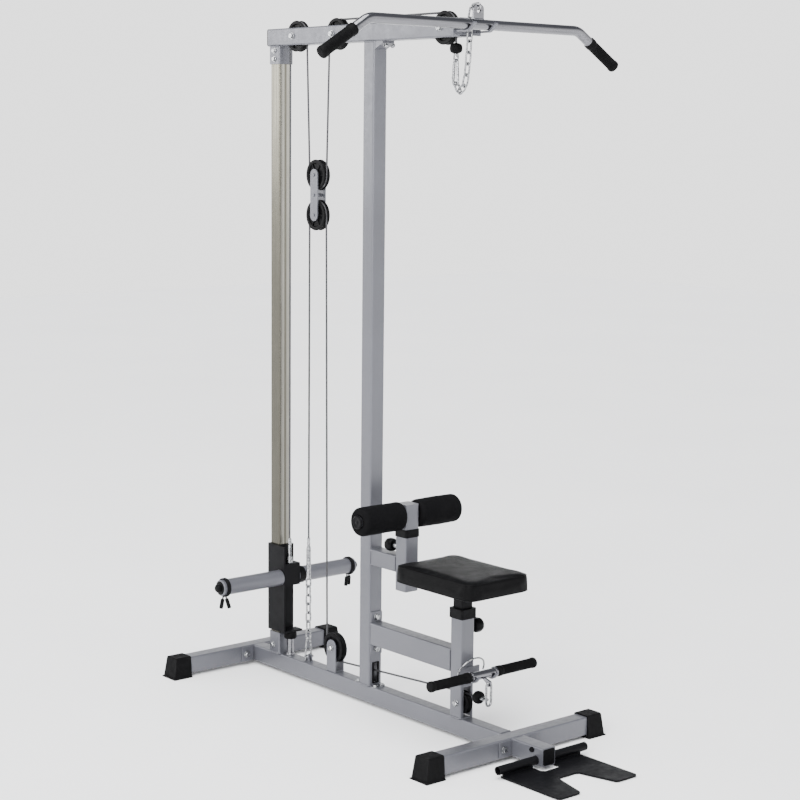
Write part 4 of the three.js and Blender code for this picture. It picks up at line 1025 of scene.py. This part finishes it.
def add_carabiner(solid, top, bottom_z):
    """A spring hook in the plane of Y and Z: a bent wire body, a gate bar and its pin."""
    height = top.z - bottom_z
    wire = 0.0038
    wide, narrow = 0.0098, 0.0064
    lower = Vector((0, top.y, bottom_z + wire + wide))
    path = [top + Y * (narrow * math.cos(t)) + Z * (narrow * math.sin(t) - wire - narrow)
            for t in half_turn(8)]
    path += [lower - Y * (wide * math.cos(t)) - Z * (wide * math.sin(t)) for t in half_turn(8)]
    solid.sweep(path, wire, 14, True, 1)
    gate_low = Vector((0, top.y + wide - 0.0005, bottom_z + height * 0.24))
    gate_high = Vector((0, top.y + narrow + 0.0012, bottom_z + height * 0.80))
    solid.sweep([gate_low.lerp(gate_high, i / 6) for i in range(7)], 0.0046, 16, False, 1)
    pin = [(0, -0.0062), (0.0018, -0.0062), (0.0018, 0.0062), (0, 0.0062)]
    solid.lathe(pin, gate_low + Z * 0.006, X, 16, 1)


def add_lat_chain(y, low_z):
    """The chain that hangs from the spring hook, loops up behind the bar and passes over its tab."""
    bar_y = centre("lat_grip_left").y
    top = high("lat_bar").z
    hang = [(-0.001, 0.0), (-0.008, -0.020), (-0.023, -0.026), (-0.037, -0.012), (-0.047, 0.030),
            (-0.054, 0.100), (-0.0575, 0.170)]
    route = [(0, y + dy, low_z + dz) for dy, dz in hang] + [(0, bar_y + 0.024, top - 0.006)]
    joints = smooth_path(route, 9) + [Vector((0, bar_y - 0.006, top - 0.0035))]
    solid = Solid(ZINC)
    for i, (a, b) in enumerate(zip(joints, joints[1:])):
        add_link(solid, a, b, 0.0225, 0.0056, i % 2)
    solid.build("lat_chain_fine", "lat_handle", ["lat_chain"], smooth=60)


def add_row_end(wheel_point):
    """The low row's cable end: a ball stop, a swaged eye and the long ring that holds the bar."""
    a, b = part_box("row_cable_end")
    z = wheel_point.z
    back = wheel_point.y - 0.055
    front = back - STOP
    blended_stub("row_cable_stub", wheel_point, Vector((0, back, z)), "row_handle")
    solid = Solid(RUBBER, ZINC)
    solid.lathe(ball_profile(0.0185, STOP), (0, back - STOP / 2, z), Y, 56)
    add_link(solid, (0, front + 0.006, z), (0, front - 0.022, z), 0.020, 0.0052, extra=0.0, number=1)
    solid.lathe([(0, 0), (0.0062, 0), (0.0062, 0.008), (0, 0.010)], (0, front - 0.008, z), Y, 28, 1)
    ring = 0.007
    ring_y = a.y + ring / 2
    add_link(solid, (0, ring_y, b.z), (0, ring_y, a.z), 0.026, ring, extra=-ring, number=1)
    solid.build("row_cable_clip", "row_handle", ["row_cable_end"], smooth=50)


def add_weight_end():
    """The fitting that joins the weight cable to the carriage: a threaded eye, a swage and a lock nut."""
    a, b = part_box("weight_cable_end")
    foot = Vector((centre("weight_cable_end").x, centre("weight_cable_end").y, a.z))
    height = b.z - a.z
    profile = [(0, 0.0006), (0.0105, 0.0006), (0.011, 0.0012), (0.011, 0.010), (0.0098, 0.012),
               (0.006, 0.0135)]
    thread = 0.016
    while thread < height - 0.020:
        profile += [(0.0060, thread), (0.0053, thread + 0.001)]
        thread += 0.002
    profile += [(0.006, height - 0.018), (0.006, height - 0.003), (0.004, height), (0, height)]
    solid = Solid(ZINC).lathe(profile, foot, Z, 40)
    nut = [(0, 0), (0.0098, 0), (0.0098, 0.008), (0.0084, 0.0095), (0, 0.0095)]
    solid.lathe(nut, foot + Z * 0.0125, Z, 6)
    solid.build("weight_cable_fitting", "carriage", ["weight_cable_end"], smooth=50)


# ---------------------------------------------------------------- weight carriage
def add_bumper():
    """A rubber pad on a chromed stem with a hex foot, under the carriage."""
    a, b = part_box("weight_bumper")
    foot = Vector((centre("weight_bumper").x, centre("weight_bumper").y, a.z))
    radius = (b.x - a.x) / 2 * 0.82
    thickness = 0.022
    reach = b.z - thickness - a.z + 0.001
    pad = [(0, 0), (radius - 0.003, 0), (radius, 0.003), (radius, 0.018), (radius - 0.004, thickness),
           (0, thickness)]
    solid = Solid(RUBBER, BAR_CHROME)
    solid.lathe(pad, (foot.x, foot.y, b.z - thickness), Z, 56)
    solid.lathe([(0, 0), (0.011, 0), (0.011, reach), (0, reach)], foot, Z, 40, 1)
    solid.lathe([(0, 0), (0.0155, 0), (0.0155, 0.006), (0.014, 0.008), (0, 0.008)], foot, Z, 6, 1)
    solid.build("bumper_fine", "frame", ["weight_bumper"], smooth=50)


def add_horns():
    """Two plate sleeves, each with a nylon end plug; the right one also has a dark nylon ring at its root, painted
    shade where the shadow falls on that root.
    """
    for side, label in ((-1, "left"), (1, "right")):
        node = f"weight_horn_{label}"
        a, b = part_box(node)
        start, end = sorted((abs(a.x), abs(b.x)))
        r = (b.z - a.z) / 2
        base = Vector((0, centre(node).y, centre(node).z))
        shoulder = end - 0.015
        tube = [(0, start), (r - WALL, start), (r - 0.0006, start), (r, start + 0.0006),
                (r, shoulder - 0.0025), (r - 0.0008, shoulder - 0.0008), (r - 0.0028, shoulder),
                (0.013, shoulder), (0, shoulder)]
        plug = [(0, shoulder - 0.001), (r - 0.004, shoulder - 0.001), (r - 0.004, shoulder + 0.0016),
                (r - 0.0055, shoulder + 0.003), (0.0125, shoulder + 0.0034), (0.0125, end - 0.003),
                (0.0095, end), (0, end)]
        painted_shade_ring = [(r + 0.0004, start), (r + 0.0022, start + 0.0006), (r + 0.0022, start + 0.022),
                (r + 0.0012, start + 0.024), (r + 0.0004, start + 0.024)]
        solid = Solid(PAINT, NYLON)
        solid.lathe(tube, base, X * side, 72)
        solid.lathe(plug, base, X * side, 56, 1)
        # Painted shade: a dark ring on the right sleeve's root only, where the shadow falls; the left root has
        # none.
        if side > 0:
            solid.lathe(painted_shade_ring, base, X, 64, 1, closed=True)
        solid.build(f"horn_{label}_fine", "carriage", [node], smooth=50)
        add_clip(label, side, base)


def add_clip(label, side, base):
    """A spring collar: three close turns of wire round the sleeve and two gripped tails."""
    node = f"spring_clip_{label}"
    middle = centre(node).x
    bottom = low(node).z
    wire = 0.0023
    pitch = 0.0046
    reach = span(f"weight_horn_{label}").z / 2 + 0.0004 + wire
    solid = Solid(BLACK, NYLON)
    for k in (-1, 0, 1):
        ring = [base + Vector((middle + k * pitch, reach * math.cos(t), reach * math.sin(t)))
                for t in turns(56)]
        solid.sweep(ring, wire, 10, True)
    for way, lean in ((-1, math.radians(-4 * side)), (1, math.radians(16 * side))):
        start = base + Vector((middle + way * pitch, 0, -reach))
        direction = Vector((math.sin(math.radians(7) * way) + 0.06 * way, math.sin(lean), -1)).normalized()
        length = (start.z - bottom - 0.0045) / -direction.z
        solid.sweep([start + direction * length * i / 8 for i in range(9)], wire, 12)
        grip = [start + direction * (length * (0.22 + 0.78 * i / 10)) for i in range(11)]
        solid.sweep(grip, lambda i: 0.0062 if 0 < i < 10 else 0.0050, 18, False, 1)
    solid.build(f"clip_{label}_fine", NODE_BODY[node], [node], smooth=60)


# ---------------------------------------------------------------- bars and grips
def lat_bar_line():
    """The middle line of half the lat bar from its centre outwards, and the way its end points."""
    y = centre("lat_grip_left").y
    z = high("lat_bar").z - 0.054
    drop = math.radians(32)
    straight_half, bend, tail = 0.375, 0.060, 0.165
    points = [Vector((straight_half * i / 24, y, z)) for i in range(24)]
    for i in range(15):
        angle = drop * i / 14
        points.append(Vector((straight_half + bend * math.sin(angle), y, z - bend * (1 - math.cos(angle)))))
    along = Vector((math.cos(drop), 0, -math.sin(drop)))
    end = points[-1]
    return points + [end + along * tail * i / 10 for i in range(1, 11)], along


def mirrored(points):
    return [Vector((-p.x, p.y, p.z)) for p in points]


def add_lat_bar():
    """The pulldown bar: a bent chromed tube with a holed tab on top and a ribbed grip on each end."""
    points, along = lat_bar_line()
    radius = 0.0145
    solid = Solid(BAR_CHROME)
    solid.sweep(mirrored(points[1:])[::-1] + points, radius, 40)
    y, z = points[0].y, points[0].z
    top = high("lat_bar").z
    half, corner = 0.019, 0.012
    outline = [(-half, z + 0.004), (half, z + 0.004)]
    for start, sx in ((0, 1), (1, -1)):
        for i in range(9):
            angle = (start + i / 8) * math.pi / 2
            outline.append((sx * (half - corner) + corner * math.cos(angle),
                            top - corner + corner * math.sin(angle)))
    plate_with_hole(solid, outline, (0.0, top - 0.015), 0.0078, y, 0.003)
    for side in (-1, 1):
        seam = Vector((half, y + side * 0.0036, z + radius - 0.0005))
        solid.weld(seam - X * 2 * half, seam)
    solid.build("lat_bar_fine", "lat_handle", ["lat_bar"], smooth=50)
    for side, label in ((-1, "left"), (1, "right")):
        end = Vector((side * points[-1].x, y, points[-1].z))
        out = Vector((side * along.x, 0, along.z))
        add_grip(f"lat_grip_{label}", end + out * 0.0053, -out, 0.132, 0.0175, radius, "lat_handle")


def plate_with_hole(solid, outline, hole, radius, y, half):
    """A plate in the plane of X and Z with one round hole, made of a ring of quads."""
    directions = [Vector((math.cos(a), math.sin(a))) for a in turns(36)]
    inner = [(hole[0] + radius * d.x, hole[1] + radius * d.y) for d in directions]
    outer = [ray_to_outline(outline, hole, d) for d in directions]
    rings = []
    for line, depth in ((inner, y - half), (outer, y - half), (outer, y + half), (inner, y + half)):
        rings.append([Vector((px, depth, pz)) for px, pz in line])
    solid.rings(rings, closed=True)


def ray_to_outline(outline, start, direction):
    """Where a ray from inside an outline meets it."""
    best = None
    for (ax, az), (bx, bz) in zip(outline, outline[1:] + outline[:1]):
        ex, ez = bx - ax, bz - az
        bottom = direction.x * ez - direction.y * ex
        if abs(bottom) < 1e-12:
            continue
        t = ((ax - start[0]) * ez - (az - start[1]) * ex) / bottom
        u = ((ax - start[0]) * direction.y - (az - start[1]) * direction.x) / bottom
        if t > 0 and -1e-9 <= u <= 1 + 1e-9 and (best is None or t < best):
            best = t
    return (start[0] + direction.x * best, start[1] + direction.y * best)


def add_grip(node, end, inward, length, radius, bar, body):
    """A ribbed rubber grip: a domed flared end, a row of fine ribs and a plain collar."""
    waist = radius - 0.0012
    profile = [(0, 0), (radius * 0.50, 0.0001), (radius * 0.78, 0.0007), (radius - 0.0012, 0.0024),
               (radius, 0.005), (radius, 0.0125), (waist, 0.0145)]
    h = 0.0165
    while h < length - 0.022:
        profile += [(waist, h), (waist - 0.0009, h + 0.0004), (waist - 0.0009, h + 0.0012),
                    (waist, h + 0.0016)]
        h += 0.0036
    profile += [(waist, length - 0.018), (radius - 0.0002, length - 0.016), (radius, length - 0.014),
                (radius, length - 0.003), (radius - 0.0014, length - 0.0006), (bar + 0.0004, length),
                (0, length)]
    solid = Solid(RUBBER).lathe(profile, end, inward, 56)
    solid.build(f"{node}_fine", body, [node], smooth=60)


def add_row_bar():
    """The low row bar: a short chromed tube, a flat hanger with a round end, two collars and two grips."""
    y, z = centre("row_grip_left").y, centre("row_grip_left").z
    radius = 0.0125
    half = 0.203
    solid = Solid(BAR_CHROME)
    solid.lathe([(0, -half), (radius - 0.001, -half), (radius, -half + 0.001), (radius, half - 0.001),
                 (radius - 0.001, half), (0, half)], (0, y, z), X, 56)
    link_y = low("row_cable_end").y + 0.0035
    eye = 0.009
    eye_z = z - 0.022
    outline = [(y + 0.008, z - 0.006), (y - 0.008, z - 0.006), (link_y - eye, z - 0.014)]
    outline += [(link_y - eye * math.cos(t), eye_z - eye * math.sin(t)) for t in half_turn(12)]
    solid.prism(outline, "x", -0.003, 0.003)
    collar = [(radius, -0.004), (radius + 0.0028, -0.0034), (radius + 0.0028, 0.0034), (radius, 0.004)]
    for side in (-1, 1):
        solid.lathe(collar, (side * 0.046, y, z), X, 48, 0, closed=True)
    solid.build("row_bar_fine", "row_handle", ["row_bar"], bevel=0.0004, smooth=50)
    reach = high("row_grip_right").x
    length = span("row_grip_right").x
    for side, label in ((-1, "left"), (1, "right")):
        end = Vector((side * reach, y, z))
        add_grip(f"row_grip_{label}", end, -X * side, length, 0.016, radius, "row_handle")


def add_row_hoop():
    """The wire keeper that stands behind the low bar on its hook plate."""
    corner = high("row_bar_hooks")
    face = corner.y - 0.012
    path = [Vector((0.050 * math.cos(t), face - 0.022 * math.sin(t), corner.z - 0.012 + 0.046 * math.sin(t)))
            for t in half_turn(24)]
    Solid(ZINC).sweep(path, 0.0026, 14).build("row_bar_keeper", "frame", smooth=50)


# ---------------------------------------------------------------- seat and thigh hold
def add_knob(node, base, direction, neck, body):
    """A pull knob: steel nose and threaded housing, nylon head with finger flutes and a domed end."""
    direction = Vector(direction)
    u, v = side_axes(direction)
    length = 0.032
    radius = max(span(node).z, 0.030) / 2
    solid = Solid(NYLON, ZINC)
    nose = [(0, -0.003), (0.0045, -0.003), (0.0050, 0.0), (0.009, 0.0), (0.009, neck), (0, neck)]
    solid.lathe(nose, base, direction, 32, 1)
    nut = [(0, 0.0008), (0.0125, 0.0008), (0.0125, 0.0068), (0.0112, 0.008), (0, 0.008)]
    solid.lathe(nut, base, direction, 6, 1)
    rings = []
    profile = [(0.0088, neck - 0.001), (radius * 0.72, neck), (radius * 0.86, neck + 0.002),
               (radius * 0.97, neck + 0.007), (radius, neck + 0.012), (radius, neck + 0.021),
               (radius * 0.95, neck + 0.026), (radius * 0.84, neck + 0.0295),
               (radius * 0.6, neck + 0.0315), (radius * 0.3, neck + length)]
    for r, h in profile:
        ring = []
        fluted = 0.055 * max(0.0, (r - radius * 0.7) / (radius * 0.3))
        for angle in turns(80):
            depth = fluted * (0.5 + 0.5 * math.cos(8 * angle)) ** 3
            ring.append(base + direction * h + (u * math.cos(angle) + v * math.sin(angle)) * r * (1 - depth))
        rings.append(ring)
    solid.rings(rings)
    solid.build(f"{node}_fine", body, [node], smooth=50)


def swell(obj, held, pressure, most):
    """Inflates a closed pad with cloth pressure. Held points stay, and none moves further than most."""
    group = obj.vertex_groups.new(name="hold")
    group.add([v.index for v in obj.data.vertices if held(v.co)], 1.0, "REPLACE")
    rest = [v.co.copy() for v in obj.data.vertices]
    cloth = obj.modifiers.new("cloth", "CLOTH")
    settings = cloth.settings
    settings.quality = 6
    settings.mass = 0.4
    settings.tension_stiffness = settings.compression_stiffness = 28
    settings.shear_stiffness = 12
    settings.bending_stiffness = 1.2
    settings.use_pressure = True
    settings.uniform_pressure_force = pressure
    settings.effector_weights.gravity = 0
    settings.vertex_group_mass = "hold"
    cloth.collision_settings.use_collision = False
    scene = bpy.context.scene
    for number in range(1, 19):
        scene.frame_set(number)
    evaluated = obj.evaluated_get(bpy.context.evaluated_depsgraph_get())
    moved = [v.co.copy() for v in evaluated.data.vertices]
    obj.modifiers.remove(cloth)
    scene.frame_set(1)
    for vert, start, end in zip(obj.data.vertices, rest, moved):
        shift = end - start
        if shift.length > most:
            shift *= most / shift.length
        vert.co = start + shift


def even_out(obj, size):
    """Rebuilds a closed mesh from even quads, so that the cloth stretches the same way all over."""
    remesh = obj.modifiers.new("even", "REMESH")
    remesh.mode = "VOXEL"
    remesh.voxel_size = size
    remesh.use_smooth_shade = True
    even = bpy.data.meshes.new_from_object(obj.evaluated_get(bpy.context.evaluated_depsgraph_get()))
    obj.modifiers.remove(remesh)
    even.materials.clear()
    for material in obj.data.materials:
        even.materials.append(material)
    obj.data = even
    relax(obj, 2)


def relax(obj, rounds):
    """Moves each point halfway to the middle of its neighbours, a few times over."""
    shape = bmesh.new()
    shape.from_mesh(obj.data)
    for _ in range(rounds):
        bmesh.ops.smooth_vert(shape, verts=shape.verts, factor=0.5,
                              use_axis_x=True, use_axis_y=True, use_axis_z=True)
    shape.to_mesh(obj.data)
    shape.free()


def add_seat_pad():
    """A vinyl-covered pad: crowned top, sides that pull in a little, piped seam and a flat wrapped base."""
    a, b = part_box("seat_pad")
    mid = (a + b) / 2
    outline = rounded_rectangle((b.x - a.x) / 2, (b.y - a.y) / 2, 0.027, 12)
    dense = []
    for p, q in zip(outline, outline[1:] + outline[:1]):
        count = max(1, round((q - p).length / 0.008))
        dense += [p.lerp(q, i / count) for i in range(count)]
    height = b.z - a.z
    wall = height * 0.925

    def ring(scale, z):
        return [Vector((mid.x + p.x * scale, mid.y + p.y * scale, z)) for p in dense]

    levels = [(0.0, 0.962), (0.03, 0.980), (0.10, 0.987), (0.30, 0.987), (0.50, 0.987), (0.70, 0.988),
              (0.90, 0.987), (0.97, 0.978), (1.0, 0.958)]
    rings = [ring(scale, a.z) for scale in (0.04, 0.3, 0.6, 0.85)]
    rings += [ring(scale, a.z + wall * t) for t, scale in levels]
    for scale in (0.88, 0.80, 0.70, 0.58, 0.45, 0.31, 0.16, 0.04):
        rings.append(ring(scale, a.z + wall + (1 - scale ** 4) * height * 0.03))
    pad = Solid(VINYL).rings(rings).build("seat_cushion", None, smooth=80)
    pad.modifiers.clear()
    even_out(pad, 0.005)
    swell(pad, lambda p: p.z < a.z + 0.006, 4.0, 0.003)
    relax(pad, 3)
    for vert in pad.data.vertices:
        vert.co = [min(max(vert.co[k], a[k]), b[k]) for k in range(3)]
    smooth = pad.modifiers.new("surface", "SUBSURF")
    smooth.levels = smooth.render_levels = 1
    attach(pad, "seat")
    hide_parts("seat_pad")
    add_seat_trim(pad, dense, mid, a, b)


def add_seat_trim(pad, dense, mid, a, b):
    """The piped seam round the top edge, the folded hem under the pad and the screws in its board."""
    height = b.z - a.z
    seam = Solid(VINYL)
    skin = BVHTree.FromPolygons([v.co for v in pad.data.vertices], [p.vertices[:] for p in pad.data.polygons])
    for z, radius in ((a.z + height * 0.86, 0.0014), (a.z + 0.005, 0.0013)):
        path = []
        for p in dense:
            out = Vector((p.x, p.y, 0)).normalized()
            start = Vector((mid.x + p.x, mid.y + p.y, z)) + out * 0.03
            hit = skin.ray_cast(start, -out)[0]
            path.append(hit + out * 0.0004)
        seam.sweep(path, radius, 8, True)
    seam.build("seat_piping", "seat", smooth=80)
    bolts = Solid(ZINC)
    plate = high("seat_stem").z - 0.005
    for x in (-0.058, 0.058):
        for y in (-0.070, 0.070):
            bolts.bolt((x, mid.y + y, plate), (0, 0, -1), 0.010, 0.004, 0.009)
    bolts.build("seat_plate_bolts", "seat")


def add_roller(label, side):
    """A foam roller with softly rounded ends and shallow dents."""
    node = f"thigh_roller_{label}"
    a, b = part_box(node)
    c = centre(node)
    radius = (b.z - a.z) / 2
    length = b.x - a.x
    bend = 0.012
    near = [(0.0135, 0.001), (0.020, 0.0004), (0.030, 0.0006)]
    for i in range(8):
        angle = math.pi / 2 * i / 7
        near.append((radius - bend + bend * math.sin(angle), bend - bend * math.cos(angle)))
    skin = [(radius + 0.0002 * math.sin(i * 1.3), bend + (length - 2 * bend) * i / 20) for i in range(1, 20)]
    profile = near + skin + [(r, length - h) for r, h in reversed(near)]
    solid = Solid(FOAM).lathe(profile, (a.x, c.y, c.z), X, 88, closed=True)
    roller = solid.build(f"roller_{label}", None, smooth=70)
    roller.modifiers.clear()
    for vert in roller.data.vertices:
        around = math.atan2(vert.co.z - c.z, vert.co.y - c.y)
        wave = math.sin(vert.co.x * 31 + side) * math.cos(around * 2 + vert.co.x * 9)
        radial = Vector((0, vert.co.y - c.y, vert.co.z - c.z))
        if radial.length > radius * 0.8:
            vert.co += radial.normalized() * wave * 0.0007
    core = radius - 0.006
    swell(roller, lambda p: math.hypot(p.y - c.y, p.z - c.z) < core, 1.2, 0.0015)
    surface = roller.modifiers.new("surface", "SUBSURF")
    surface.levels = surface.render_levels = 1
    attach(roller, NODE_BODY[node])
    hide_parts(node)


def add_thigh_trim():
    """Nylon end caps with a raised face on the two ends of the roller axle."""
    a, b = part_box("thigh_stem")
    c = centre("thigh_roller_left")
    cap = [(0, -0.0042), (0.0192, -0.0042), (0.0202, -0.003), (0.0202, 0.0002), (0.0182, 0.0020),
           (0.0150, 0.0024), (0.0130, 0.0010), (0.0062, 0.0009), (0.0048, 0.0022), (0, 0.0024)]
    solid = Solid(NYLON)
    for x, out in ((a.x, -X), (b.x, X)):
        solid.lathe(cap, (x, c.y, c.z), out, 56)
    solid.build("roller_end_caps", "thigh_hold", smooth=50)


def add_stem_holes():
    """Three adjustment holes in the seat stem, shown as dark rims on its right face: painted shade for the inside
    of each hole.
    """
    solid = Solid(NYLON)
    rim = [(0.0035, -0.0006), (0.0058, -0.0006), (0.0058, 0.0003), (0.0052, 0.0005), (0.0035, 0.0005)]
    for k in range(3):
        place = (0.021, centre("seat_post").y, high("seat_collar").z + 0.016 + k * 0.025)
        solid.lathe(rim, place, X, 28, closed=True)
    solid.build("seat_stem_holes", "seat")


def add_seat_and_thigh():
    add_seat_pad()
    for label, side in (("left", -1), ("right", 1)):
        add_roller(label, side)
    add_thigh_trim()
    add_stem_holes()
    seat = centre("seat_pin")
    add_knob("seat_pin", Vector((high("seat_post").x + 0.0003, seat.y, seat.z)), X, 0.015, "seat_lock")
    thigh = centre("thigh_pin")
    face = centre("thigh_stem").y + 0.025
    add_knob("thigh_pin", Vector((0, face + 0.0003, thigh.z)), Y, 0.033, "thigh_lock")


# ---------------------------------------------------------------- build
add_camera()
add_studio()
add_frame()
add_welds()
add_bolts()
add_end_plugs()
add_hook_sleeves()
for pulley in PULLEYS:
    add_pulley(pulley)
high_point, low_point = add_cables()
add_anchor_chain()
add_high_end(high_point)
add_row_end(low_point)
add_weight_end()
add_bumper()
add_horns()
add_lat_bar()
add_row_bar()
add_row_hoop()
add_seat_and_thigh()
